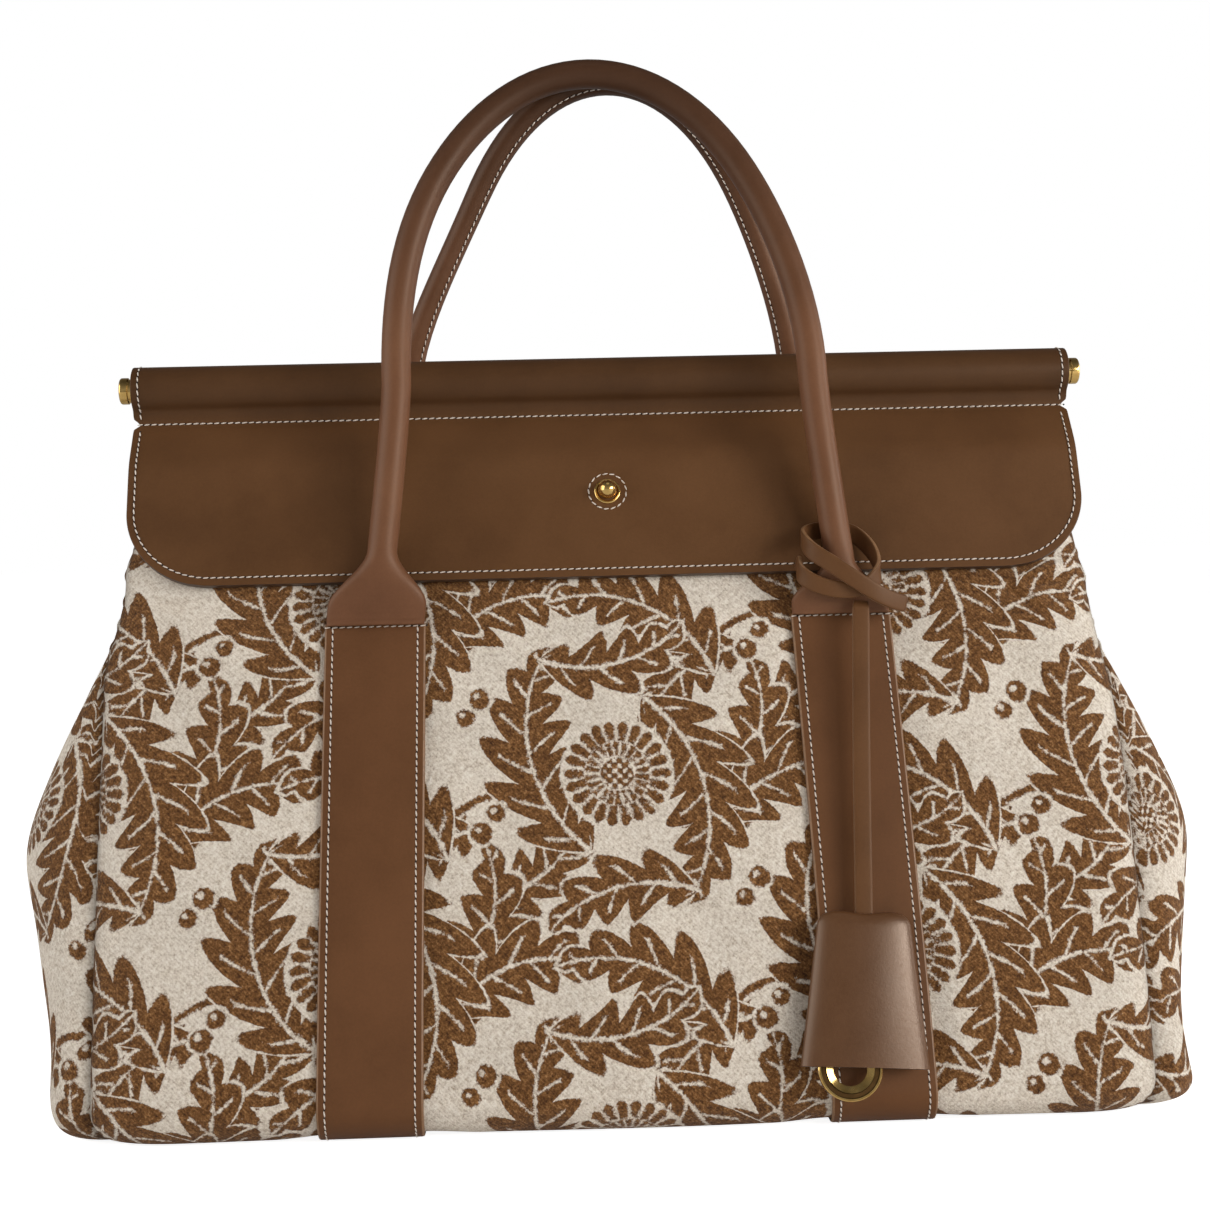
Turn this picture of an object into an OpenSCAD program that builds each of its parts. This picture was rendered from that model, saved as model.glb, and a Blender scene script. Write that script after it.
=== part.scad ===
// Satchel handbag: woollen jacquard body, leather flap over a top rod, two rolled handles,
// two straps round the base, and a bell-shaped leather cover on a lace.
// Millimetres, +Z up, the front faces -Y, the origin is under the middle of the base.

/* [Body] */
// Length of the front panel along the bottom edge
base_l = 426; // [380:1:470]
// Length of the mouth
mouth_l = 396; // [360:1:420]
// Depth of the base, front to back
base_d = 190; // [150:1:230]
// Depth of the mouth under the flap
mouth_d = 26; // [22:1:40]
// Height of the mouth edge
mouth_z = 272; // [255:1:285]
// Radius of the rolled bottom edge
bottom_r = 12; // [8:1:18]
// Set-back of the front panel's rounded side edges
edge_r = 9; // [5:1:14]
// How far each gusset swells past the front panel's edge
gusset_bulge = 37; // [25:1:60]
// Swell of each gusset at the base
gusset_foot = 26; // [15:1:45]
// Height of the gusset's fullest point
bulge_z = 100; // [70:1:130]
// Height at which the gusset turns from swelling out to folding in
fold_z = 197; // [185:1:225]
// Depth of the gusset's inward fold at the mouth
mouth_fold = 6; // [2:0.5:8]
// Thickness of the woollen cloth
fabric_t = 2.2; // [1.2:0.1:3]
// Thickness of the lining
lining_t = 0.8; // [0.5:0.1:1.2]
// Thickness of the stiffening board in the base
board_t = 2; // [1:0.1:4]
// Height of the leather facing inside the mouth
facing_h = 36; // [24:1:50]
// Length of the leather facing inside the mouth
facing_l = 300; // [200:1:304]
// Thickness of the leather facing
facing_t = 1.4; // [1:0.1:2]

/* [Straps] */
// Width of each strap
strap_w = 42; // [32:1:50]
// Thickness of each strap
strap_t = 2.6; // [2:0.1:4]
// Spacing of the two straps, centre to centre
strap_gap = 198; // [170:1:220]
// Height of the straps' top edges
strap_top_z = 203; // [190:1:208]

/* [Flap] */
// Width of the flap
flap_w = 408; // [398:1:430]
// Height of the flap's lower edge
flap_bottom_z = 221.5; // [214:0.5:230]
// Radius of the flap's lower corners
flap_corner_r = 36; // [15:1:60]
// Depth of the notches at the ends of the tunnel's stitch line
flap_notch = 3; // [1:0.5:5]
// Height at which the back of the flap is sewn off
flap_back_z = 240; // [232:1:252]
// Thickness of the flap's outer leather
flap_leather_t = 2; // [1.4:0.1:2.6]
// Thickness of the flap's lining leather
flap_lining_t = 1.4; // [1:0.1:2]
// Room between the front panel and the closed flap
flap_room = 2; // [1.8:0.1:3]
// Diameter of the rod in the flap's tunnel
rod_d = 13; // [10:0.5:15]
// Height of the rod
rod_z = 306.5; // [302:0.5:312]
// Clearance between the rod and its tunnel
rod_room = 0.3; // [0.2:0.1:0.5]

/* [Handles] */
// Diameter of the rolled handles
handle_d = 12.5; // [11:0.5:18]
// Height of the top of the handles
handle_top_z = 445; // [410:1:470]
// Width of the handle arch at its widest level, centre to centre
arch_w = 176; // [150:1:190]
// Height at which the arch starts
arch_z = 304; // [290:1:320]
// Width of the flat sewn foot of each handle
foot_w = 41; // [34:1:42]
// Thickness of the flat sewn foot
foot_t = 5.5; // [4:0.5:6]
// Length over which the foot becomes round
flare_h = 36; // [28:1:50]
// Room on each side of the lace where it passes behind a handle
knot_room = 2.4; // [1.5:0.1:3]
// Gap between the two handles where they lean together
handle_room = 0.4; // [0.3:0.1:2]

/* [Hardware] */
// Diameter of the stud's ball
ball_d = 7.8; // [6:0.1:8]
// Height of the stud on the front panel
stud_z = 255.5; // [252:0.5:258]
// Diameter of the stud's foot
stud_foot_d = 8.2; // [7:0.1:8.4]
// Thickness of the stud's foot
stud_foot_t = 1.4; // [1:0.1:1.6]
// Diameter of the stud's screw
screw_d = 3.4; // [2.5:0.1:4]
// Outer diameter of the eyelet in the flap
eyelet_d = 11.4; // [10.5:0.1:13]
// Inner diameter of the eyelet
eyelet_bore = 8.6; // [8.5:0.1:9]
// Wall of the eyelet's barrel
eyelet_wall = 0.6; // [0.4:0.1:0.8]
// Diameter of the rod's end caps
cap_d = 11.5; // [9:0.5:12.5]
// How far each end cap stands out of the tunnel
cap_out = 6; // [3:0.5:8]
// Diameter of the pin that holds each end cap in the rod
cap_pin_d = 5; // [3:0.5:6]

/* [Lace and bell] */
// Width of the flat lace
lace_w = 8; // [6:0.5:9]
// Thickness of the flat lace
lace_t = 2.2; // [1.6:0.1:2.4]
// Height of the leather bell along the lace
bell_h = 61; // [50:1:70]
// Width of the bell at its open lower end
bell_w = 51; // [44:1:56]
// Width of the bell at its top
bell_top_w = 36.5; // [30:0.5:42]
// Thickness of the bell at its open lower end
bell_t = 12; // [10:0.5:12.5]
// Thickness of the bell at its top
bell_top_t = 9; // [8:0.5:10]
// Wall of the bell
bell_wall = 1.7; // [1.2:0.1:2]
// Room round the lace in the bell's top slot
slot_room = 0.5; // [0.4:0.1:0.8]
// Outer diameter of the ring on the lace
ring_d = 25.4; // [20:0.2:28]
// Inner diameter of the ring on the lace
ring_bore = 13.5; // [10:0.5:15]
// Thickness of the ring
ring_t = 3; // [2:0.1:4]

/* [Hidden] */

$fn = 48;
wool = "#9c7a58";
calf = "#6b4a33";
calf_pale = "#7d5a40";
suede = "#b8a48c";
gold = "#c9a24a";

// Small helpers
function unit(v) = v / norm(v);
function clamp01(u) = min(1, max(0, u));
function ease(u) = let (c = clamp01(u)) c * c * (3 - 2 * c);
function mix(a, b, u) = a + (b - a) * u;
function reversed(line) = [for (i = [len(line) - 1:-1:0]) line[i]];
function flipped(line) = [for (p = line) [-p[0], p[1]]];
function part(line, first, last) = [for (i = [first:last]) line[i]];

// Side profile of the front and back faces: the same line on both, mirrored.
// Each level holds the face's distance from the middle, its height, and the tuck of the bottom edge.
z_base = strap_t;
edge_z = z_base + bottom_r;
face_curve = 1.15;
arc_steps = 3;
level_steps = 12;
function lean(z) = mix(base_d / 2, mouth_d / 2, pow(clamp01((z - edge_z) / (mouth_z - edge_z)), face_curve));
prof = concat(
    [for (i = [0:arc_steps - 1]) let (a = 90 * i / arc_steps, tuck = bottom_r * (1 - sin(a)))
        [base_d / 2 - tuck, z_base + bottom_r * (1 - cos(a)), tuck]],
    [for (i = [0:level_steps]) let (z = mix(edge_z, mouth_z, i / level_steps)) [lean(z), z, 0]]
);
top_k = len(prof) - 1;
function face_at(z) = lookup(z, [for (p = prof) [p[1], p[0]]]);
function prof_normal(k) =
    k == 0 ? [0, -1]
    : let (a = prof[k - 1], b = prof[min(k + 1, top_k)]) unit([b[1] - a[1], a[0] - b[0]]);
// A point of the profile moved outwards by out
function prof_at(k, out) = [prof[k][0], prof[k][1]] + out * prof_normal(k);
function first_above(z) = min([for (k = [0:top_k]) if (prof[k][1] > z) k]);

// Woollen shell: one closed ring of points at every level, front, right, back, left
edge_start = 0.88;
edge_share = 0.35;
front_cols = [-1, -0.988, -0.965, -0.93, -edge_start, -0.8, 0.8, edge_start, 0.93, 0.965, 0.988, 1];
gusset_cols = 8;
gusset_round = 0.75;
fold_round = 2;
shoulder_z = 165;
swell_curve = 1.3;
function half_l(z) = mix(base_l / 2, mouth_l / 2, ease((z - shoulder_z) / (mouth_z - shoulder_z)));
function bulge(z) =
    z < bulge_z ? mix(gusset_foot, gusset_bulge, sin(90 * clamp01(z / bulge_z)))
    : z < fold_z ? gusset_bulge * pow(cos(90 * (z - bulge_z) / (fold_z - bulge_z)), swell_curve)
    : -mouth_fold * sin(90 * (z - fold_z) / (mouth_z - fold_z));
function edge_tuck(k) = min(edge_r, edge_share * prof[k][0]);
function panel_l(k) = half_l(prof[k][1]) - prof[k][2];
function front_point(k, f) =
    let (u = clamp01((abs(f) - edge_start) / (1 - edge_start)))
    [f * panel_l(k), edge_tuck(k) * (1 - sqrt(1 - u * u)) - prof[k][0], prof[k][1]];
// The gusset swells in a full round below, and folds in softly towards the mouth
function gusset_point(k, t) =
    let (b = bulge(prof[k][1]), folded = b < 0)
    [panel_l(k) + b * pow(sin(180 * t), folded ? fold_round : gusset_round),
     (edge_tuck(k) - prof[k][0]) * (folded ? 1 - 2 * t : cos(180 * t)),
     prof[k][1]];
function half_ring(k) = concat(
    [for (f = front_cols) front_point(k, f)],
    [for (i = [1:gusset_cols - 1]) gusset_point(k, i / gusset_cols)]
);
function turned(points) = [for (p = points) [-p[0], -p[1], p[2]]];
grid = [for (k = [0:top_k]) let (h = half_ring(k)) concat(h, turned(h))];
ring_n = len(grid[0]);
front_last = len(front_cols) - 1;
half_n = ring_n / 2;
function shell_normal(k, j) =
    k == 0 ? [0, 0, -1]
    : let (ahead = unit(grid[k][(j + 1) % ring_n] - grid[k][j]),
           behind = unit(grid[k][j] - grid[k][(j + ring_n - 1) % ring_n]))
      unit(cross(ahead + behind, grid[min(k + 1, top_k)][j] - grid[k - 1][j]));
function shell_at(k, j, out) = grid[k][j % ring_n] + out * shell_normal(k, j % ring_n);

// A piece of the shell between two columns, as thick as the cloth
module shell_patch(j0, j1) {
    cols = j1 - j0 + 1;
    inner = cols * (top_k + 1);
    points = [for (out = [0, -fabric_t]) for (k = [0:top_k]) for (j = [j0:j1]) shell_at(k, j, out)];
    function o(k, j) = k * cols + j;
    function i(k, j) = inner + o(k, j);
    last = cols - 1;
    walls = [for (k = [0:top_k - 1]) for (j = [0:last - 1]) each [
        [o(k, j), o(k + 1, j + 1), o(k, j + 1)], [o(k, j), o(k + 1, j), o(k + 1, j + 1)],
        [i(k, j), i(k, j + 1), i(k + 1, j + 1)], [i(k, j), i(k + 1, j + 1), i(k + 1, j)]]];
    seams = [for (k = [0:top_k - 1]) each [
        [o(k, 0), i(k, 0), i(k + 1, 0)], [o(k, 0), i(k + 1, 0), o(k + 1, 0)],
        [o(k, last), i(k + 1, last), i(k, last)], [o(k, last), o(k + 1, last), i(k + 1, last)]]];
    ends = [for (j = [0:last - 1]) each [
        [o(0, j), o(0, j + 1), i(0, j + 1), i(0, j)],
        [i(top_k, j), i(top_k, j + 1), o(top_k, j + 1), o(top_k, j)]]];
    polyhedron(points, concat(walls, seams, ends), convexity = 6);
}

// A cup lofted through rings, closed at the first ring and open at the last.
// Rings run anticlockwise seen from the open end.
module cup(outer, inner) {
    n = len(outer[0]);
    top = len(outer) - 1;
    shift = n * (top + 1);
    function o(k, j) = k * n + j % n;
    function i(k, j) = shift + o(k, j);
    walls = [for (k = [0:top - 1]) for (j = [0:n - 1]) each [
        [o(k, j), o(k + 1, j + 1), o(k, j + 1)], [o(k, j), o(k + 1, j), o(k + 1, j + 1)],
        [i(k, j), i(k, j + 1), i(k + 1, j + 1)], [i(k, j), i(k + 1, j + 1), i(k + 1, j)]]];
    rim = [for (j = [0:n - 1]) each [
        [i(top, j), i(top, j + 1), o(top, j + 1)], [i(top, j), o(top, j + 1), o(top, j)]]];
    floors = [[for (j = [0:n - 1]) o(0, j)], [for (j = [n - 1:-1:0]) i(0, j)]];
    points = [for (rings = [outer, inner]) for (r = rings) for (p = r) p];
    polyhedron(points, concat(walls, rim, floors), convexity = 6);
}

// A closed bar swept through rings that run anticlockwise seen from the far end
module bar(rings) {
    n = len(rings[0]);
    last = len(rings) - 1;
    function o(k, j) = k * n + j % n;
    walls = [for (k = [0:last - 1]) for (j = [0:n - 1]) each [
        [o(k, j), o(k + 1, j + 1), o(k, j + 1)], [o(k, j), o(k + 1, j), o(k + 1, j + 1)]]];
    ends = [[for (j = [0:n - 1]) o(0, j)], [for (j = [n - 1:-1:0]) o(last, j)]];
    polyhedron([for (r = rings) for (p = r) p], concat(walls, ends), convexity = 6);
}

// Points of an oval; a roundness below 1 squares it off
function oval(a, b, roundness, n) = [for (i = [0:n - 1]) let (c = cos(360 * i / n), s = sin(360 * i / n))
    [a * sign(c) * pow(abs(c), roundness), b * sign(s) * pow(abs(s), roundness)]];

// Extrudes a side profile drawn in Y and Z along the bag's length
module along_x(length) {
    rotate([90, 0, 90]) linear_extrude(height = length, center = true) children();
}

// The line through the ball stud, square to the front face
stud_k = first_above(stud_z);
stud_seat = prof[stud_k] - prof[stud_k - 1];
stud_tilt = atan2(-stud_seat[0], stud_seat[1]);
module at_stud() {
    translate([0, -face_at(stud_z), stud_z]) rotate([90 - stud_tilt, 0, 0]) children();
}
screw_room = 0.1;
module screw_hole() {
    at_stud() translate([0, 0, -mouth_d / 2]) cylinder(d = screw_d + 2 * screw_room, h = mouth_d);
}

// Body
module front_panel() {
    color(wool) difference() {
        shell_patch(0, front_last);
        screw_hole();
    }
}
module back_panel() {
    color(wool) shell_patch(half_n, half_n + front_last);
}
module right_gusset() {
    color(wool) shell_patch(front_last, half_n);
}
module left_gusset() {
    color(wool) shell_patch(half_n + front_last, ring_n);
}
module base_outline() {
    polygon([for (p = grid[0]) [p[0], p[1]]]);
}
module base_panel() {
    color(wool) translate([0, 0, z_base]) linear_extrude(height = fabric_t) base_outline();
}
module lining() {
    function rings(out) = [for (k = [0:top_k]) [for (j = [0:ring_n - 1]) shell_at(k, j, out)]];
    color(suede) difference() {
        cup(rings(-fabric_t), rings(-fabric_t - lining_t));
        screw_hole();
    }
}
board_room = 4;
module base_board() {
    board = [base_l - 2 * (bottom_r + board_room), base_d - 2 * (bottom_r + board_room)];
    color("#5d5146") translate([0, 0, z_base + fabric_t + lining_t])
        linear_extrude(height = board_t) square(board, center = true);
}

// Leather facings inside the mouth
facing_in = -fabric_t - lining_t;
module facing_shape() {
    k0 = first_above(mouth_z - facing_h) - 1;
    polygon(concat(
        [for (k = [k0:top_k]) prof_at(k, facing_in)],
        [for (k = [top_k:-1:k0]) prof_at(k, facing_in - facing_t)]));
}
module facing() {
    intersection() {
        along_x(facing_l) facing_shape();
        translate([-facing_l, 0, mouth_z - facing_h]) cube([2 * facing_l, base_d, facing_h * 2]);
    }
}
module front_facing() {
    color(calf) difference() {
        rotate([0, 0, 180]) facing();
        screw_hole();
    }
}
module back_facing() {
    color(calf) facing();
}

// Straps, each one strip from the front, under the base and up the back
module strap(side) {
    inside = [for (k = [0:top_k]) prof_at(k, 0)];
    outside = [for (k = [0:top_k]) prof_at(k, strap_t)];
    color(calf_pale) translate([side * strap_gap / 2, 0, 0]) intersection() {
        along_x(strap_w)
            polygon(concat(flipped(reversed(inside)), inside, reversed(outside), flipped(outside)));
        translate([-strap_w, -base_d, 0]) cube([2 * strap_w, 2 * base_d, strap_top_z]);
    }
}
module left_strap() { strap(-1); }
module right_strap() { strap(1); }

// Flap: over the rod in a sewn tunnel, down the front past the mouth, and lapped onto the back panel
flap_t = flap_leather_t + flap_lining_t;
tunnel_r = rod_d / 2 + rod_room;
neck_h = 5;
neck_z = rod_z - tunnel_r - flap_t - neck_h;
flap_k = first_above(flap_bottom_z) - 1;
back_k = first_above(flap_back_z) - 1;
neck_top = [0, rod_z - tunnel_r - flap_t / 2];
function leg_line(k0, out) = concat([for (k = [k0:top_k]) prof_at(k, out)], [[0, neck_z], neck_top]);
function line_normal(line, i) =
    let (a = line[max(i - 1, 0)], b = line[min(i + 1, len(line) - 1)]) unit([b[1] - a[1], a[0] - b[0]]);
function moved(line, out) = [for (i = [0:len(line) - 1]) line[i] + out * line_normal(line, i)];
front_leg = leg_line(flap_k, flap_room);
back_leg = leg_line(back_k, 0);
// Both legs in one outline: up the outside of the front, down the back, and home along the inside
module legs() {
    back_n = len(back_leg);
    front_n = len(front_leg);
    polygon(concat(
        flipped(moved(front_leg, flap_t)), reversed(moved(back_leg, flap_t)),
        part(back_leg, 0, back_n - 2), flipped(reversed(part(front_leg, 0, front_n - 3)))));
}
module flap_lining_shape() {
    last = top_k - flap_k;
    polygon(flipped(concat(
        part(front_leg, 0, last), reversed(part(moved(front_leg, flap_lining_t), 0, last)))));
}
module tunnel(r, length) {
    translate([0, 0, rod_z]) rotate([0, 90, 0]) cylinder(r = r, h = length, center = true);
}
corner_steps = 8;
notch_h = 8;
corner_fall = 0.88;
// Outline of the flap seen from the front: round lower corners and a small notch under the tunnel
module flap_outline(bottom, corner) {
    w = flap_w / 2;
    side = concat(
        [for (i = [0:corner_steps]) let (a = 90 * i / corner_steps)
            [w - corner + corner * sin(a), bottom + corner_fall * corner * (1 - cos(a))]],
        [[w, neck_z - notch_h], [w - flap_notch, neck_z], [w, neck_z + notch_h / 2], [w, rod_z + rod_d * 2]]);
    polygon(concat(side, [for (p = reversed(side)) [-p[0], p[1]]]));
}
// Room in front of or behind the bag; the two cuts lap over each other inside the neck
module flap_cut(bottom, corner, y) {
    translate([0, y, 0]) rotate([90, 0, 0]) linear_extrude(height = base_d / 2) flap_outline(bottom, corner);
}
module eyelet_hole() {
    at_stud() translate([0, 0, flap_room / 2])
        cylinder(d = eyelet_bore + 2 * eyelet_wall, h = flap_room + 2 * flap_t);
}
module flap() {
    color(calf) difference() {
        intersection() {
            union() {
                along_x(flap_w) legs();
                tunnel(tunnel_r + flap_t, flap_w);
            }
            union() {
                flap_cut(flap_bottom_z, flap_corner_r, flap_leather_t / 2);
                flap_cut(flap_back_z, flap_notch, base_d / 2);
            }
        }
        tunnel(tunnel_r, 2 * flap_w);
        along_x(2 * flap_w) flap_lining_shape();
        eyelet_hole();
    }
}
module flap_lining() {
    color(calf_pale) difference() {
        intersection() {
            along_x(flap_w) flap_lining_shape();
            flap_cut(flap_bottom_z, flap_corner_r, 0);
        }
        eyelet_hole();
    }
}

// Rod in the tunnel, with a gold cap pinned into each end
rod_inset = 1;
cap_pin_l = 14;
cap_groove = 0.6;
cap_waist = 0.45;
cap_shoulder = 0.5;
rod_l = flap_w - 2 * rod_inset;
module top_rod() {
    color("#8d8d8f") translate([0, 0, rod_z]) rotate([0, 90, 0]) difference() {
        cylinder(d = rod_d, h = rod_l, center = true);
        for (side = [-1, 1])
            translate([0, 0, side * rod_l / 2]) cylinder(d = cap_pin_d, h = 2 * cap_pin_l, center = true);
    }
}
// Drawn from the rod's end outwards: pin, collar, groove, domed head
module rod_cap() {
    r = cap_d / 2;
    out = rod_inset + cap_out;
    rotate_extrude() polygon([
        [0, -cap_pin_l], [cap_pin_d / 2, -cap_pin_l], [cap_pin_d / 2, 0], [r - cap_groove, 0],
        [r - cap_groove, out * cap_waist], [r, out * cap_shoulder], [r, out - cap_groove * 2],
        [r - cap_groove * 2, out], [0, out]]);
}
module right_rod_cap() {
    color(gold) translate([rod_l / 2, 0, rod_z]) rotate([0, 90, 0]) rod_cap();
}
module left_rod_cap() {
    color(gold) translate([-rod_l / 2, 0, rod_z]) rotate([0, -90, 0]) rod_cap();
}

// Ball stud on the front panel, its washer inside, and the eyelet that slips over it
panel_stack = fabric_t + lining_t + facing_t;
washer_t = 1;
washer_d = 10;
ball_rise = 0.35;
ball_up = flap_room + flap_t + ball_d * ball_rise;
neck_d = 4;
module ball_stud() {
    color(gold) at_stud() rotate_extrude() difference() {
        union() {
            translate([0, -panel_stack - washer_t]) square([screw_d / 2, panel_stack + washer_t]);
            square([stud_foot_d / 2, stud_foot_t]);
            square([neck_d / 2, ball_up]);
            translate([0, ball_up]) circle(d = ball_d);
        }
        translate([-ball_d, -base_d]) square([ball_d, 2 * base_d]);
    }
}
module stud_washer() {
    color(gold) at_stud() translate([0, 0, -panel_stack - washer_t]) difference() {
        cylinder(d = washer_d, h = washer_t);
        translate([0, 0, -washer_t]) cylinder(d = screw_d, h = 3 * washer_t);
    }
}
eyelet_rim = 0.9;
eyelet_shoulder = 0.7;
eyelet_lip = 0.6;
module flap_eyelet() {
    barrel_r = eyelet_bore / 2 + eyelet_wall;
    bottom = flap_room;
    top = flap_room + flap_t;
    color(gold) at_stud() rotate_extrude() polygon([
        [eyelet_bore / 2, bottom], [barrel_r, bottom], [barrel_r, top], [eyelet_d / 2, top],
        [eyelet_d / 2 - eyelet_rim / 3, top + eyelet_rim * eyelet_shoulder],
        [(barrel_r + eyelet_d / 2) / 2, top + eyelet_rim], [eyelet_bore / 2, top + eyelet_rim * eyelet_lip]]);
}

// Handles: a flat foot above each strap, flaring into a rolled tube that arches over
foot_room = 0.4;
foot_z = strap_top_z + foot_room;
foot_y = face_at(strap_top_z) + foot_room + foot_t / 2;
handle_r = handle_d / 2;
arch_h = handle_top_z - handle_r - arch_z;
apex_y = handle_r + handle_room / 2;
// The rolled part stands clear of the flap by the lace that passes behind it
clear_y = face_at(foot_z + flare_h) + flap_room + flap_t + lace_t + 2 * knot_room + handle_r;
arm_steps = 14;
arch_step = 8;
splay_curve = 1.2;
lean_curve = 1.25;
flare_curve = 1.5;
foot_square = 0.45;
handle_sides = 12;
arm_spread = 1.4;
function arm_x(z) =
    let (down = clamp01((arch_z - z) / (arch_z - foot_z)))
    mix(arch_w / 2, strap_gap / 2, pow(down, splay_curve));
function handle_y(z) =
    let (up = clamp01((z - foot_z - flare_h / 2) / (arch_z + arch_h - foot_z - flare_h / 2)),
         low = 1 - clamp01((z - foot_z) / (flare_h / 2)))
    mix(clear_y, apex_y, pow(up, lean_curve)) - (clear_y - foot_y) * low * low;
// One ring of the handle: centre, direction that faces out of the arch, and its height above the foot
function handle_ring(centre, out, height) =
    let (u = clamp01(height / flare_h),
         wide = mix(handle_r, foot_w / 2, pow(1 - u, flare_curve)),
         thick = mix(foot_t / 2, handle_r, ease(u)))
    [for (p = oval(wide, thick, 1 - foot_square * (1 - u), handle_sides)) centre + p[0] * out + [0, p[1], 0]];
function arm_ring(side, z) = handle_ring([side * arm_x(z), -handle_y(z), z], [side, 0, 0], z - foot_z);
function arch_ring(a) =
    let (x = arch_w / 2 * cos(a), z = arch_z + arch_h * sin(a))
    handle_ring([x, -handle_y(z), z], unit([cos(a) * arch_h, 0, sin(a) * arch_w / 2]), flare_h);
arm_levels = [for (i = [0:arm_steps]) mix(foot_z, arch_z, pow(i / arm_steps, arm_spread))];
module handle() {
    bar(concat(
        [for (z = arm_levels) arm_ring(1, z)],
        [for (a = [arch_step:arch_step:180 - arch_step]) arch_ring(a)],
        [for (z = reversed(arm_levels)) arm_ring(-1, z)]));
}
module front_handle() {
    color(calf) handle();
}
module back_handle() {
    color(calf) mirror([0, 1, 0]) handle();
}

// Lace: knotted round the right foot of the front handle, then straight down to the ring
knot_route = [
    [78.5, -42.5, 226], [80, -48.5, 219.5], [88, -51.8, 215], [98, -52, 213.4], [107, -51.6, 215.5],
    [111.5, -47.5, 221.5], [109.5, -40.5, 230], [103, -34.6, 236.8], [94.5, -34.1, 238.4],
    [86, -36.8, 238], [81, -43.5, 235.5], [83.5, -50.5, 230], [92.5, -54.2, 223.5],
    [101, -55.4, 217.5], [109.5, -54.8, 212], [116, -52.4, 208.8], [122.5, -49, 206.8]
];
lace_top = [103.5, -50.5, 208.5];
lace_end = [92.5, -104.5, 22];
lace_square = 0.5;
lace_sides = 8;
route_steps = 4;
function spline(a, b, c, d, u) =
    0.5 * (2 * b + (c - a) * u + (2 * a - 5 * b + 4 * c - d) * u * u + (3 * b - 3 * c + d - a) * u * u * u);
function smoothed(p) = let (n = len(p) - 1) concat(
    [for (i = [0:n - 1]) for (s = [0:route_steps - 1])
        spline(p[max(i - 1, 0)], p[i], p[i + 1], p[min(i + 2, n)], s / route_steps)],
    [p[n]]);
function ribbon(points, across) = [for (i = [0:len(points) - 1])
    let (t = unit(points[min(i + 1, len(points) - 1)] - points[max(i - 1, 0)]),
         w = unit(across - (across * t) * t),
         u = cross(t, w))
    [for (p = oval(lace_w / 2, lace_t / 2, lace_square, lace_sides)) points[i] + p[0] * w + p[1] * u]];
module lace_knot() {
    color(calf_pale) bar(ribbon(smoothed(knot_route), [0, 0, 1]));
}
lace_dir = unit(lace_top - lace_end);
bell_bottom_z = 27;
ring_hang = 12;
function on_lace(z) = mix(lace_end, lace_top, (z - lace_end[2]) / (lace_top[2] - lace_end[2]));
ring_centre = on_lace(bell_bottom_z) - [ring_hang / 2, 0, 0];
lace_steps = 6;
lace_seat = 0.4;
lace_stop = on_lace(bell_bottom_z + (ring_d / 2 + lace_seat) * lace_dir[2]);
module lace_strand() {
    color(calf_pale)
        bar(ribbon([for (i = [0:lace_steps]) mix(lace_top, lace_stop, i / lace_steps)], [1, 0, 0]));
}

// Places a piece with its own +Z up along the lace
module on_lace_line(place) {
    tilt = atan2(lace_dir[1], norm([lace_dir[0], lace_dir[2]]));
    turn = atan2(lace_dir[0], lace_dir[2]);
    translate(place) rotate([-tilt, turn, 0]) children();
}

// Moulded leather bell, open below, with a slot in its top for the lace
bell_levels = [0, 0.02, 0.06, 0.13, 0.35, 0.6, 0.85, 1];
bell_corner = 6;
bell_puff = 0.8;
bell_square = 0.85;
bell_sides = 24;
bell_shoulder = 0.2;
function bell_half(v, top, bottom) = mix(top, bottom, v) / 2;
function bell_round(v) =
    let (d = clamp01(v * bell_h / bell_corner)) 1 - sqrt(1 - (1 - d) * (1 - d));
function bell_ring(v, inset, shift) =
    let (w = bell_half(v, bell_top_w, bell_w) - bell_corner * bell_round(v) - inset,
         fall = bell_shoulder * bell_top_t * bell_round(v),
         t = bell_half(v, bell_top_t, bell_t) + bell_puff * sin(180 * v) - fall - inset)
    [for (p = oval(w, t, bell_square, bell_sides)) [p[0], p[1], v * bell_h + shift * (1 - v)]];
module clochette() {
    slot = [lace_w + 2 * slot_room, lace_t + 2 * slot_room, 4 * bell_wall];
    top = on_lace(bell_bottom_z) + bell_h * lace_dir;
    color(calf) on_lace_line(top) difference() {
        rotate([180, 0, 0]) cup(
            [for (v = bell_levels) bell_ring(v, 0, 0)],
            [for (v = bell_levels) bell_ring(v, bell_wall, bell_wall)]);
        cube(slot, center = true);
    }
}

// Ring on the end of the lace
ring_bevel = 0.8;
module lace_ring() {
    ro = ring_d / 2;
    ri = ring_bore / 2;
    h = ring_t / 2;
    color(gold) on_lace_line(ring_centre) rotate([90, 0, 0]) rotate_extrude() polygon([
        [ri, -h + ring_bevel], [ri + ring_bevel, -h], [ro - ring_bevel, -h], [ro, -h + ring_bevel],
        [ro, h - ring_bevel], [ro - ring_bevel, h], [ri + ring_bevel, h], [ri, h - ring_bevel]]);
}

front_panel();
back_panel();
left_gusset();
right_gusset();
base_panel();
lining();
base_board();
front_facing();
back_facing();
left_strap();
right_strap();
flap();
flap_lining();
top_rod();
left_rod_cap();
right_rod_cap();
ball_stud();
stud_washer();
flap_eyelet();
front_handle();
back_handle();
lace_knot();
lace_strand();
clochette();
lace_ring();
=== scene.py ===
import math

import bmesh
import bpy
import numpy as np
from mathutils import Matrix, Vector


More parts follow.
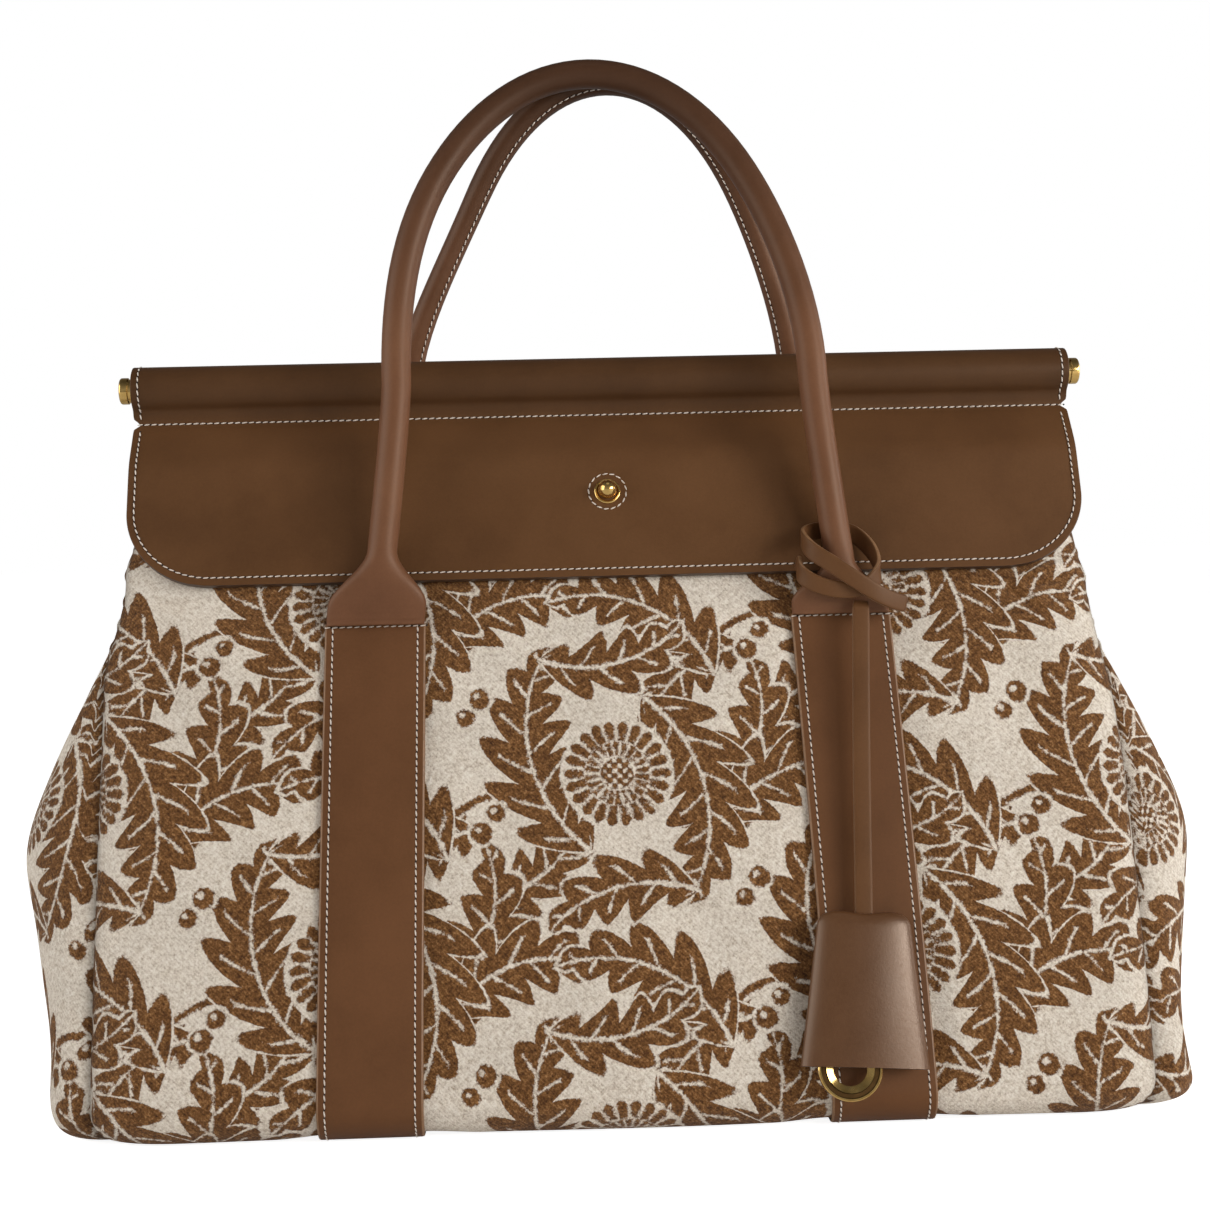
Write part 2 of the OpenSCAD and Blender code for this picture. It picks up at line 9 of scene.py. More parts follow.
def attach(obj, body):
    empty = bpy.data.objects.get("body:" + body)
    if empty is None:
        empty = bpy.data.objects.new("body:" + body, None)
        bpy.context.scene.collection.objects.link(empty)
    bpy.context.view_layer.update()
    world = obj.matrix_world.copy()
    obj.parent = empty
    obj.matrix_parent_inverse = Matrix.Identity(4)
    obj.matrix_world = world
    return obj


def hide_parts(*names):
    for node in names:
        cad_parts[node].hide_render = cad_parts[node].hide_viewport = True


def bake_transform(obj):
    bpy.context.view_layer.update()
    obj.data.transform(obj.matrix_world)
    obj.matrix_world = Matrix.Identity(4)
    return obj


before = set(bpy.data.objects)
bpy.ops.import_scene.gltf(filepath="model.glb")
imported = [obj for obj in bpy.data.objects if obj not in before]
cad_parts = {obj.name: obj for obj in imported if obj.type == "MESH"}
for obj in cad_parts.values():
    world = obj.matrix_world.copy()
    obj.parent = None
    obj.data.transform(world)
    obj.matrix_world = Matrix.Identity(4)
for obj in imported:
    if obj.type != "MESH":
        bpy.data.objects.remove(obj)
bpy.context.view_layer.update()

# Lengths below are in millimetres, with +Z up and the front facing -Y
MM = 0.001

# Sizes that the soft pieces share with the solids
BASE_L = 426
MOUTH_L = 396
BASE_D = 190
MOUTH_D = 26
MOUTH_Z = 272
BOTTOM_R = 12
EDGE_R = 9
EDGE_SHARE = 0.35
EDGE_START = 0.88
GUSSET_BULGE = 37
GUSSET_FOOT = 26
BULGE_Z = 100
FOLD_Z = 197
MOUTH_FOLD = 6
SHOULDER_Z = 165
FACE_CURVE = 1.15
SWELL_CURVE = 1.3
STRAP_W = 42
STRAP_T = 2.6
STRAP_GAP = 198
STRAP_TOP_Z = 203
FLAP_W = 408
FLAP_BOTTOM_Z = 221.5
FLAP_BACK_Z = 240
FLAP_CORNER = 36
FLAP_CORNER_FALL = 0.88
FLAP_NOTCH = 3
FLAP_T = 3.4
FLAP_ROOM = 2
ROD_Z = 306.5
TUNNEL_R = 10.2
NECK_Z = 291.3
Z_BASE = STRAP_T
EDGE_Z = Z_BASE + BOTTOM_R


# Small helpers
def mix(a, b, u):
    return a + (b - a) * u


def ease(u):
    u = np.clip(u, 0, 1)
    return u * u * (3 - 2 * u)


def hump(x, centre, width):
    """A soft bell of height 1 round centre."""
    return np.exp(-(((x - centre) / width) ** 2))


def unit(vectors):
    return vectors / np.maximum(np.linalg.norm(vectors, axis=-1, keepdims=True), 1e-9)


def lengths(line):
    """Distance of each point of a line from its start, along the line."""
    steps = np.linalg.norm(np.diff(line, axis=0), axis=1)
    return np.concatenate([[0], np.cumsum(steps)])


def at_length(line, s):
    """Points of a line at the distances s from its start."""
    run = lengths(line)
    return np.stack([np.interp(s, run, line[:, i]) for i in range(line.shape[1])], -1)


def line_frame(line, s, side):
    """Places on a line in Y and Z at the distances s, and the directions to its left (1) or right (-1)."""
    run = lengths(line)[-1]
    near = at_length(line, np.clip(s - 0.5, 0, run))
    far = at_length(line, np.clip(s + 0.5, 0, run))
    ahead = unit(far - near)
    return at_length(line, s), side * np.stack([-ahead[:, 1], ahead[:, 0]], 1)


def with_x(x, yz):
    return np.stack([x, yz[:, 0], yz[:, 1]], 1)


def rounded(line, steps):
    """Catmull-Rom curve through the points of a line."""
    p = np.asarray(line, float)
    ends = np.concatenate([[2 * p[0] - p[1]], p, [2 * p[-1] - p[-2]]])
    out = []
    for a, b, c, d in zip(ends, ends[1:], ends[2:], ends[3:]):
        for u in np.arange(steps) / steps:
            bend = (2 * a - 5 * b + 4 * c - d) * u * u + (3 * b - 3 * c + d - a) * u ** 3
            out.append(0.5 * (2 * b + (c - a) * u + bend))
    return np.array(out + [p[-1]])


def mapped_grid(across, along, place, closed=False, paint=None):
    """A grid of faces whose corners run from 0 to 1 both ways, each moved by place(u, v).

    Faces where paint(u, v) is true take the second finish.
    """
    bm = bmesh.new()
    bmesh.ops.create_grid(bm, x_segments=across, y_segments=along, size=0.5)
    if paint:
        for face in bm.faces:
            u, v = face.calc_center_median().xy
            face.material_index = int(paint(u + 0.5, v + 0.5))
    flat = np.array([v.co[:2] for v in bm.verts]) + 0.5
    for vert, co in zip(bm.verts, place(flat[:, 0], flat[:, 1])):
        vert.co = co
    if closed:
        bmesh.ops.remove_doubles(bm, verts=bm.verts, dist=0.005)
    return bm


def close_ends(bm):
    bmesh.ops.holes_fill(bm, edges=bm.edges, sides=0)
    bmesh.ops.recalc_face_normals(bm, faces=bm.faces)


def make_piece(name, bm, finishes, body, nodes=()):
    """One finished piece in metres, at the origin, riding on a body and standing for CAD nodes."""
    bm.transform(Matrix.Scale(MM, 4))
    mesh = bpy.data.meshes.new(name)
    bm.to_mesh(mesh)
    bm.free()
    mesh.shade_smooth()
    for finish in finishes:
        mesh.materials.append(finish)
    obj = bpy.data.objects.new(name, mesh)
    bpy.context.collection.objects.link(obj)
    if nodes:
        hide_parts(*nodes)
    if body:
        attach(obj, body)
    return obj


def thicken(obj, thickness, side, edge=0.5):
    """Gives a skin its thickness; its second finish paints the cut edge and its third, where there is one,
    the softened corner as a painted highlight.
    """
    wall = obj.modifiers.new("thickness", "SOLIDIFY")
    wall.thickness = thickness * MM
    wall.offset = side
    wall.use_even_offset = True
    wall.material_offset_rim = 1
    soft = obj.modifiers.new("soft_edge", "BEVEL")
    soft.width = edge * MM
    soft.segments = 2
    soft.material = 2 if len(obj.data.materials) > 2 else -1
    soft.limit_method = "ANGLE"
    soft.angle_limit = math.radians(55)
    soft.harden_normals = True
    return obj


# Node tools for the finishes
def srgb(r, g, b):
    """A colour seen as 0 to 255 values, as the shader's linear colour."""
    seen = np.array([r, g, b]) / 255
    linear = np.where(seen <= 0.04045, seen / 12.92, ((seen + 0.055) / 1.055) ** 2.4)
    return (*[float(c) for c in linear], 1)


class Nodes:
    """A node tree under construction: nodes are added by kind and wired by name."""

    def __init__(self, tree):
        self.tree = tree

    def add(self, kind, settings=None, **inputs):
        node = self.tree.nodes.new(kind)
        for key, value in (settings or {}).items():
            setattr(node, key, value)
        for key, value in inputs.items():
            self.put(node.inputs[key.replace("_", " ")], value)
        return node

    def put(self, socket, value):
        if isinstance(value, bpy.types.NodeSocket):
            self.tree.links.new(value, socket)
        else:
            socket.default_value = value

    def math(self, operation, a, b=0.5, c=0.5):
        node = self.tree.nodes.new("ShaderNodeMath")
        node.operation = operation
        for socket, value in zip(node.inputs, (a, b, c)):
            self.put(socket, value)
        return node.outputs[0]

    def span(self, value, low, high, to_low, to_high):
        node = self.add("ShaderNodeMapRange", Value=value, From_Min=low, From_Max=high)
        self.put(node.inputs["To Min"], to_low)
        self.put(node.inputs["To Max"], to_high)
        return node.outputs[0]


class Finish(Nodes):
    """A material under construction."""

    def __init__(self, name):
        self.material = bpy.data.materials.new(name)
        self.material.use_nodes = True
        super().__init__(self.material.node_tree)
        self.shader = self.tree.nodes["Principled BSDF"]
        self.place = self.add("ShaderNodeTexCoord").outputs["Object"]

    def noise(self, size, detail=3, roughness=0.55, stretch=(1, 1, 1)):
        """Noise whose features are about size millimetres wide."""
        scale = [1 / (size * MM) * s for s in stretch]
        spread = self.add("ShaderNodeMapping", Vector=self.place, Scale=scale).outputs[0]
        node = self.add("ShaderNodeTexNoise", Vector=spread, Scale=1, Detail=detail, Roughness=roughness)
        return node.outputs["Fac"]

    def ramp(self, value, *stops):
        """Colour steps, each a place from 0 to 1 and a colour."""
        node = self.add("ShaderNodeValToRGB", Fac=value)
        marks = node.color_ramp.elements
        while len(marks) < len(stops):
            marks.new(0.5)
        for mark, (place, colour) in zip(marks, stops):
            mark.position = place
            mark.color = colour
        return node.outputs["Color"]

    def blend(self, share, a, b, way="MIX"):
        node = self.add("ShaderNodeMix", {"data_type": "RGBA", "blend_type": way})
        self.put(node.inputs[0], share)
        self.put(node.inputs[6], a)
        self.put(node.inputs[7], b)
        return node.outputs[2]

    def bump(self, height, depth, under=None):
        """Relief of about depth millimetres."""
        node = self.add("ShaderNodeBump", Height=height, Strength=1, Distance=depth * MM)
        if under is not None:
            self.put(node.inputs["Normal"], under)
        return node.outputs[0]

    def finish(self, colour, roughness, normal=None, **fixed):
        self.put(self.shader.inputs["Base Color"], colour)
        self.put(self.shader.inputs["Roughness"], roughness)
        if normal is not None:
            self.put(self.shader.inputs["Normal"], normal)
        for key, value in fixed.items():
            self.shader.inputs[key.replace("_", " ")].default_value = value
        return self.material


class Wire:
    """A number in a finish's node tree; sums written with wires become math nodes."""

    def __init__(self, finish, socket):
        self.finish = finish
        self.socket = socket

    def do(self, operation, *others):
        values = [other.socket if isinstance(other, Wire) else float(other) for other in others]
        return Wire(self.finish, self.finish.math(operation, self.socket, *values))

    def __add__(self, other):
        return self.do("ADD", other)

    def __sub__(self, other):
        return self.do("SUBTRACT", other)

    def __rsub__(self, other):
        return self.do("MULTIPLY_ADD", -1, other)

    def __mul__(self, other):
        return self.do("MULTIPLY", other)


# Foliage woven into the wool: lobed leaves, asters, berries and stems in a half-drop repeat
TILE_W = 112
TILE_H = 152
# Middle x, y, heading, length, half width, bend, lobes, from the back of the design to its front
LEAVES = [
    (-30, -40, 40, 60, 14, 70, 4),
    (28, 42, 220, 60, 14, 70, 4),
    (56, 6, 65, 88, 18, 95, 5),
    (-46, 74, 20, 82, 18, -95, 5),
    (14, 72, 155, 84, 18, 90, 5),
    (-36, 8, 100, 96, 21, -85, 6),
    (36, -8, -80, 96, 21, -85, 6),
    (2, 47, 15, 66, 15, 70, 4),
    (-2, -47, 195, 66, 15, 70, 4),
]
# Middle x, y, radius
ASTERS = [(0, 0, 22)]
BERRIES = [(56, 52, 4.4), (62, 60, 3.8), (56, -44, 4.4), (50, -52, 3.8)]
# Middle x, y, heading, length, half width, bend
STEMS = [(-22, -34, 60, 70, 1.6, 60), (24, 34, 240, 70, 1.6, 60), (56, 66, 20, 60, 1.5, -90)]
PALE_ROOM = 1.6


def from_motif(px, py, x, y):
    """Place of cloth points as seen from the nearest copy of a motif."""
    column = ((px - x) * (1 / TILE_W)).do("ROUND")
    dx = px - x - column * TILE_W
    dy = py - y - column.do("MODULO", 2) * (TILE_H / 2)
    return dx, dy.do("WRAP", TILE_H / 2, -TILE_H / 2)


def along_arc(dx, dy, heading, length, bend):
    """Distance along and across a curved rib through a motif's middle."""
    h = math.radians(heading)
    turn = math.copysign(1, bend)
    radius = length / math.radians(abs(bend))
    a = dx * math.cos(h) + dy * math.sin(h)
    b = (dx * math.sin(h) - dy * math.cos(h)) * turn + radius
    return a.do("ARCTAN2", b) * radius, radius - (a * a + b * b).do("SQRT")


def leaf(px, py, x, y, heading, length, width, bend, lobes):
    """How far a point lies inside a lobed leaf, and inside what its pale veins leave of it."""
    t, s = along_arc(*from_motif(px, py, x, y), heading, length, bend)
    u = (t * (1 / length) + 0.5).do("MAXIMUM", 0).do("MINIMUM", 1)
    side = s.do("ABSOLUTE")
    outline = (u.do("POWER", 0.85) * math.pi).do("SINE").do("POWER", 0.7) * width
    swept = (u - side * (0.8 / length)) * lobes + s.do("GREATER_THAN", 0) * 0.5
    from_notch = swept.do("PINGPONG", 0.5)
    notch = (1 - from_notch * 2).do("POWER", 1.7)
    past_end = (t.do("ABSOLUTE") - length / 2).do("MAXIMUM", 0)
    body = outline * (1 - notch * 0.62) - side - past_end
    rib = side + u * 0.55 - 0.95
    vein = ((0.5 - from_notch) * (0.8 * length / lobes) - 0.5).do("MAXIMUM", side - outline * 0.6)
    return body, body.do("MINIMUM", rib).do("MINIMUM", vein)


def stem(px, py, x, y, heading, length, half, bend):
    t, s = along_arc(*from_motif(px, py, x, y), heading, length, bend)
    body = half - s.do("ABSOLUTE") - (t.do("ABSOLUTE") - length / 2).do("MAXIMUM", 0)
    return body, body


def berry(px, py, x, y, r):
    """A round berry with a pale glint."""
    dx, dy = from_motif(px, py, x, y)
    body = r - (dx * dx + dy * dy).do("SQRT")
    glint_x = dx + 0.3 * r
    glint_y = dy - 0.3 * r
    return body, body.do("MINIMUM", (glint_x * glint_x + glint_y * glint_y).do("SQRT") - 0.3 * r)


def aster(px, py, x, y, r, petals=22):
    """Two rings of narrow petals round a seeded middle."""
    dx, dy = from_motif(px, py, x, y)
    d = (dx * dx + dy * dy).do("SQRT")
    turn = dy.do("ARCTAN2", dx) * (petals / 2)
    crest = turn.do("COSINE").do("ABSOLUTE")
    valley = turn.do("SINE").do("ABSOLUTE")
    across = d * (2 / petals)
    outer = (crest * (0.14 * r) + 0.86 * r - d).do("MINIMUM", crest * across - 0.55)
    outer = outer.do("MINIMUM", d - 0.62 * r)
    inner = (0.6 * r - d).do("MINIMUM", valley * across - 0.42).do("MINIMUM", d - 0.34 * r)
    seeds = (0.3 * r - d).do("MINIMUM", (dx * 1.5).do("SINE") * (dy * 1.5).do("SINE") * 1.2 + 0.35)
    return r - d, outer.do("MAXIMUM", inner).do("MAXIMUM", seeds)


def foliage(px, py):
    """How far a cloth point lies inside the brown of the design, in millimetres."""
    inside = px * 0 - 9
    for shape, motifs in ((stem, STEMS), (leaf, LEAVES), (aster, ASTERS), (berry, BERRIES)):
        for motif in motifs:
            body, brown = shape(px, py, *motif)
            inside = inside.do("MINIMUM", -PALE_ROOM - body).do("MAXIMUM", brown)
    return inside


# Finishes
WARM_GLANCE = (1, 0.8, 0.64, 1)


def calf(name, deep, middle, pale, shine, painted_shade=(900, 901, 1), glance=0.3):
    """Smooth calf: clouded dye, fine grain, a satin surface.

    The last argument gives painted shade that darkens the dye with height: the height it starts, the height
    it is full, and the share left.
    """
    f = Finish(name)
    cloud = f.noise(46, 4, 0.6)
    fine = f.noise(1.1, 4, 0.7)
    dye = f.ramp(cloud, (0.15, deep), (0.5, middle), (0.9, pale))
    fleck = f.span(fine, 0.3, 0.7, 0.93, 1.06)
    height = f.add("ShaderNodeSeparateXYZ", Vector=f.place).outputs["Z"]
    # painted shade: the dye darkens with height
    height_shade = f.span(height, painted_shade[0] * MM, painted_shade[1] * MM, 1, painted_shade[2])
    colour = f.blend(1, dye, f.math("MULTIPLY", fleck, height_shade), "MULTIPLY")
    worn = f.span(cloud, 0.3, 0.7, shine - 0.03, shine + 0.05)
    rough = f.math("ADD", f.span(fine, 0.3, 0.7, -0.05, 0.06), worn)
    creases = f.bump(f.noise(7, 3, 0.6), 0.05)
    grain = f.bump(f.noise(0.8, 2, 0.5), 0.03, creases)
    return f.finish(colour, rough, grain, Specular_IOR_Level=glance, Specular_Tint=WARM_GLANCE)


def painted_edge(name, low, high):
    """Edge paint: smooth, a little glossy, with faint streaks along the cut."""
    f = Finish(name)
    streak = f.noise(5, 4, 0.6, (1, 1, 3))
    colour = f.ramp(streak, (0.3, low), (0.7, high))
    relief = f.bump(f.noise(1.6, 3), 0.06)
    return f.finish(colour, f.span(streak, 0.3, 0.7, 0.36, 0.48), relief)


def waxed_thread():
    """Cream linen thread with a twist."""
    f = Finish("waxed_thread")
    strand = f.noise(0.5, 3, 0.6, (1, 1, 0.6))
    colour = f.ramp(strand, (0.25, srgb(206, 188, 168)), (0.6, srgb(234, 222, 208)),
                    (0.85, srgb(246, 238, 228)))
    return f.finish(colour, 0.6, f.bump(strand, 0.12), Sheen_Weight=0.2)


def two_tone(name, low, high, grain, rough, depth, **fixed):
    """A plain finish: one noise sets its tones, its roughness and its relief."""
    f = Finish(name)
    tone = f.noise(*grain)
    colour = f.ramp(tone, (0.3, low), (0.7, high))
    if isinstance(rough, tuple):
        rough = f.span(tone, 0.3, 0.7, *rough)
    return f.finish(colour, rough, f.bump(tone, depth) if depth else None, **fixed)


def gold_plate(name, low, high, shine):
    """Gold plating with faint handling marks."""
    f = Finish(name)
    colour = f.ramp(f.noise(3, 4, 0.6), (0.25, low), (0.75, high))
    scratch = f.noise(0.9, 4, 0.7, (1, 1, 6))
    rough = f.span(scratch, 0.3, 0.7, shine, shine + 0.1)
    return f.finish(colour, rough, f.bump(scratch, 0.004), Metallic=1)


def lining_twill():
    """Plain cotton twill of the lining."""
    f = Finish("lining_twill")
    turned = f.add("ShaderNodeMapping", Vector=f.place, Rotation=(0.6, 0.5, 0.785)).outputs[0]
    rib = f.add("ShaderNodeTexWave", Vector=turned, Scale=420, Distortion=0.6).outputs["Fac"]
    cloud = f.noise(30, 3)
    colour = f.ramp(f.math("ADD", f.math("MULTIPLY", rib, 0.35), f.math("MULTIPLY", cloud, 0.65)),
                    (0.25, srgb(150, 132, 110)), (0.8, srgb(190, 172, 148)))
    return f.finish(colour, 0.85, f.bump(rib, 0.12), Sheen_Weight=0.15)


def wool_jacquard():
    """Felted wool: brown foliage on a cream ground, with mixed fibres, soft, hairy edges and painted shade
    beside its seams.
    """
    f = Finish("wool_jacquard")
    cloth = f.add("ShaderNodeAttribute", {"attribute_name": "cloth_place_and_seam_shade"}).outputs["Vector"]
    across, along, pinch = f.add("ShaderNodeSeparateXYZ", Vector=cloth).outputs
    shape = foliage(Wire(f, across), Wire(f, along)).socket
    hair = f.noise(1.3, 4, 0.75)
    wander = f.noise(4.5, 3, 0.6)
    fray = f.math("ADD", f.span(hair, 0.25, 0.75, -1.0, 1.0), f.span(wander, 0.25, 0.75, -0.6, 0.6))
    share = f.span(f.math("ADD", shape, fray), -0.4, 0.4, 0, 1)
    fibre = f.noise(1.5, 4, 0.8)
    slant = {"bands_direction": "DIAGONAL"}
    twill = f.add("ShaderNodeTexWave", slant, Vector=cloth, Scale=0.36, Distortion=1.5)
    yarn = f.math("MULTIPLY_ADD", f.math("SUBTRACT", twill.outputs["Fac"], 0.5), 0.05, fibre)
    cream = f.ramp(yarn, (0.28, srgb(172, 152, 130)), (0.42, srgb(213, 197, 178)),
                   (0.52, srgb(233, 220, 203)), (0.68, srgb(250, 241, 227)))
    brown = f.ramp(yarn, (0.3, srgb(52, 29, 12)), (0.43, srgb(96, 61, 30)),
                   (0.54, srgb(124, 83, 43)), (0.7, srgb(180, 133, 85)))
    # painted shade: the cloth is up to half as bright beside its seams
    drawn_in = f.span(pinch, 0, 1, 1, 0.5)
    tone = f.math("MULTIPLY", f.span(f.noise(24, 3), 0.3, 0.7, 0.93, 1.05), drawn_in)
    colour = f.blend(1, f.blend(share, cream, brown), tone, "MULTIPLY")
    felt = f.bump(f.noise(3, 4, 0.7), 0.4)
    pile = f.bump(fibre, 0.6, felt)
    return f.finish(colour, 0.95, pile, Sheen_Weight=0.1, Sheen_Roughness=0.6, Specular_IOR_Level=0.1)


# The flap's tunnel takes painted shade, darker towards its top
FLAP_CALF = calf("flap_calf", srgb(82, 53, 30), srgb(97, 64, 37), srgb(107, 72, 43), 0.46,
                 painted_shade=(288, 296, 0.72))
STRAP_CALF = calf("strap_calf", srgb(90, 57, 33), srgb(105, 68, 41), srgb(116, 76, 47), 0.48)
# The handles take painted shade, darker towards the top of their arch
HANDLE_CALF = calf("handle_calf", srgb(99, 64, 42), srgb(116, 77, 53), srgb(128, 88, 62), 0.42,
                   painted_shade=(320, 430, 0.38))
LACE_CALF = calf("lace_calf", srgb(84, 54, 31), srgb(99, 65, 38), srgb(111, 75, 46), 0.45)
BELL_CALF = calf("bell_calf", srgb(79, 49, 27), srgb(93, 60, 35), srgb(104, 70, 43), 0.34, glance=0.75)
DARK_EDGE = painted_edge("dark_edge", srgb(58, 38, 24), srgb(76, 52, 34))
# Pale edge paint on the lace's cut edges; on the straps' softened corners it is a painted highlight
PALE_EDGE_PAINT_AND_HIGHLIGHT = painted_edge("pale_edge_paint_and_highlight", srgb(122, 88, 58), srgb(146, 108, 74))
THREAD = waxed_thread()
# painted shade: dark discs standing for the shade inside the awl holes
HOLE_SHADE = two_tone("awl_hole_shade", srgb(22, 13, 8), srgb(38, 24, 15), (0.6,), 0.7, 0)
GOLD = gold_plate("gold_plate", srgb(220, 176, 98), srgb(240, 204, 132), 0.1)
# Matt gold, its dark colour painted shade for the ring's groove
MATT_GOLD_PAINTED_SHADE = gold_plate("matt_gold_painted_shade", srgb(74, 54, 30), srgb(98, 72, 42), 0.4)
STEEL = two_tone("brushed_steel", srgb(140, 140, 142), srgb(172, 172, 174), (0.6, 3, 0.6, (0.05, 1, 1)),
                 (0.28, 0.42), 0.01, Metallic=1)
LINING = lining_twill()
BOARD = two_tone("grey_board", srgb(86, 75, 64), srgb(112, 99, 86), (2.5, 5, 0.7), 0.9, 0.1)
WOOL = wool_jacquard()


# Camera at the photograph's place
FRAME_PX = 1210
FOCAL_PX = 1954.26
EYE = Vector((-30.07, -859.83, 233.08))
PITCH = math.radians(-1.66)
YAW = math.radians(-1.91)
ROLL = math.radians(1.41)


def photo_camera():
    camera = bpy.data.cameras.new("photo_camera")
    camera.sensor_width = 36
    camera.lens = camera.sensor_width * FOCAL_PX / FRAME_PX
    camera.clip_start = 0.02
    obj = bpy.data.objects.new("photo_camera", camera)
    aim = Matrix.Rotation(YAW, 4, "Z") @ Matrix.Rotation(math.pi / 2 + PITCH, 4, "X")
    obj.matrix_world = Matrix.Translation(EYE * MM) @ aim @ Matrix.Rotation(-ROLL, 4, "Z")
    bpy.context.collection.objects.link(obj)
    bpy.context.scene.camera = obj


photo_camera()


# Lace: knotted round the right foot of the front handle, then down through the bell to the ring
KNOT_ROUTE = [
    (78.5, -42.5, 226), (80, -48.5, 219.5), (88, -51.8, 215), (98, -52, 213.4), (107, -51.6, 215.5),
    (111.5, -47.5, 221.5), (109.5, -40.5, 230), (103, -34.6, 236.8), (94.5, -34.1, 238.4),
    (86, -36.8, 238), (81, -43.5, 235.5), (83.5, -50.5, 230), (92.5, -54.2, 223.5),
    (101, -55.4, 217.5), (109.5, -54.8, 212), (116, -52.4, 208.8), (122.5, -49, 206.8),
]
LACE_TOP = np.array([103.5, -50.5, 208.5])
LACE_END = np.array([92.5, -104.5, 22])
LACE_W = 7.2
LACE_T = 2.2
BELL_BOTTOM_Z = 27
RING_D = 25.4
LACE_SEAT = 0.4
LACE_SQUARE = 0.42
END_TAPER = 0.82
# How far the lace bows to the left, the share of it that does, and a length from the lace's top whose point
# is worked out but not used
LACE_BOW = 0.3
BOW_SHARE = 0.68
LACE_BEND = 50
LACE_DIR = unit(LACE_TOP - LACE_END)


def on_lace(z):
    return mix(LACE_END, LACE_TOP, (z - LACE_END[2]) / (LACE_TOP[2] - LACE_END[2]))


def oval(turn, roundness):
    """A squared-off circle, as the cosine and sine of a turn from 0 to 1."""
    c = np.cos(2 * np.pi * turn)
    s = np.sin(2 * np.pi * turn)
    return np.sign(c) * np.abs(c) ** roundness, np.sign(s) * np.abs(s) ** roundness


def ribbon(line, across, around=20):
    """A flat lace along a line, its width towards across."""
    run = lengths(line)
    ahead = unit(np.gradient(line, run, axis=0))
    wide = unit(across - (ahead @ across)[:, None] * ahead)
    flat = np.cross(ahead, wide)

    def place(u, v):
        k = np.rint(v * (len(line) - 1)).astype(int)
        end = np.where((k == 0) | (k == len(line) - 1), END_TAPER, 1)
        a, b = oval(u, LACE_SQUARE)
        a = (a * end * LACE_W / 2)[:, None]
        b = (b * end * LACE_T / 2)[:, None]
        return line[k] + a * wide[k] + b * flat[k]

    def cut_edge(u, v):
        return abs((2 * u) % 1 - 0.5) > 0.4

    bm = mapped_grid(around, len(line) - 1, place, closed=True, paint=cut_edge)
    close_ends(bm)
    return bm


def lace():
    knot_line = rounded(KNOT_ROUTE, 8)
    knot = make_piece("knotted_lace", ribbon(knot_line, np.array([0, 0, 1.0])), [LACE_CALF, PALE_EDGE_PAINT_AND_HIGHLIGHT],
                      "front_handle", ["lace_knot"])
    stop = on_lace(BELL_BOTTOM_Z + (RING_D / 2 + LACE_SEAT) * LACE_DIR[2])
    share = np.linspace(0, 1, 60)
    strand_line = mix(LACE_TOP, stop, share[:, None])
    strand_line[:, 0] -= LACE_BOW * np.sin(np.pi * np.minimum(share / BOW_SHARE, 1))
    strand = make_piece("hanging_lace", ribbon(strand_line, np.array([1.0, 0, 0])), [LACE_CALF, PALE_EDGE_PAINT_AND_HIGHLIGHT],
                        None, ["lace_strand"])
    on_lace(LACE_TOP[2] - LACE_BEND) * MM
    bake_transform(strand)
    return strand, strand_line


hanging_lace, strand_line = lace()


# Side profile of the body: depth from the middle, height, and the tuck of the bottom edge
def lean(z):
    return mix(BASE_D / 2, MOUTH_D / 2, np.clip((z - EDGE_Z) / (MOUTH_Z - EDGE_Z), 0, 1) ** FACE_CURVE)


def side_profile():
    turn = np.linspace(0, np.pi / 2, 24, endpoint=False)
    tuck = BOTTOM_R * (1 - np.sin(turn))
    roll = np.stack([BASE_D / 2 - tuck, Z_BASE + BOTTOM_R * (1 - np.cos(turn)), tuck], 1)
    z = np.linspace(EDGE_Z, MOUTH_Z, 160)
    return np.concatenate([roll, np.stack([lean(z), z, 0 * z], 1)])


PROFILE = side_profile()
PROFILE_RUN = lengths(PROFILE[:, :2])
FACE_RUN = PROFILE_RUN[-1]


def run_at(z):
    """Distance along the profile at a height on the face."""
    return np.interp(z, PROFILE[:, 1], PROFILE_RUN)


def on_profile(s):
    """Depth, height, bottom tuck and the outward direction at the distance s along the profile."""
    depth, z, tuck = [np.interp(s, PROFILE_RUN, PROFILE[:, i]) for i in range(3)]
    slope = unit(np.gradient(PROFILE[:, :2], PROFILE_RUN, axis=0))
    out_d = np.interp(s, PROFILE_RUN, slope[:, 1])
    out_z = np.interp(s, PROFILE_RUN, -slope[:, 0])
    return depth, z, tuck, out_d, out_z


def half_l(z):
    return mix(BASE_L / 2, MOUTH_L / 2, ease((z - SHOULDER_Z) / (MOUTH_Z - SHOULDER_Z)))


def bulge(z):
    low = mix(GUSSET_FOOT, GUSSET_BULGE, np.sin(np.pi / 2 * np.clip(z / BULGE_Z, 0, 1)))
    rise = np.clip((z - BULGE_Z) / (FOLD_Z - BULGE_Z), 0, 1)
    middle = GUSSET_BULGE * np.maximum(np.cos(np.pi / 2 * rise), 0) ** SWELL_CURVE
    high = -MOUTH_FOLD * np.sin(np.pi / 2 * np.clip((z - FOLD_Z) / (MOUTH_Z - FOLD_Z), 0, 1))
    return np.where(z < BULGE_Z, low, middle + high)


def edge_tuck(depth):
    return np.minimum(EDGE_R, EDGE_SHARE * depth)


def cloth_run(points):
    """Distances over a grid of cloth points: across from its middle line, and up from its lower edge."""
    across = np.cumsum(np.linalg.norm(np.diff(points, axis=1, prepend=points[:, :1]), axis=2), 1)
    along = np.cumsum(np.linalg.norm(np.diff(points, axis=0, prepend=points[:1]), axis=2), 0)
    middle = points.shape[1] // 2
    return across - across[:, middle:middle + 1], along


# How far from its seams the cloth takes painted shade
SEAM_SHADE_REACH = 4


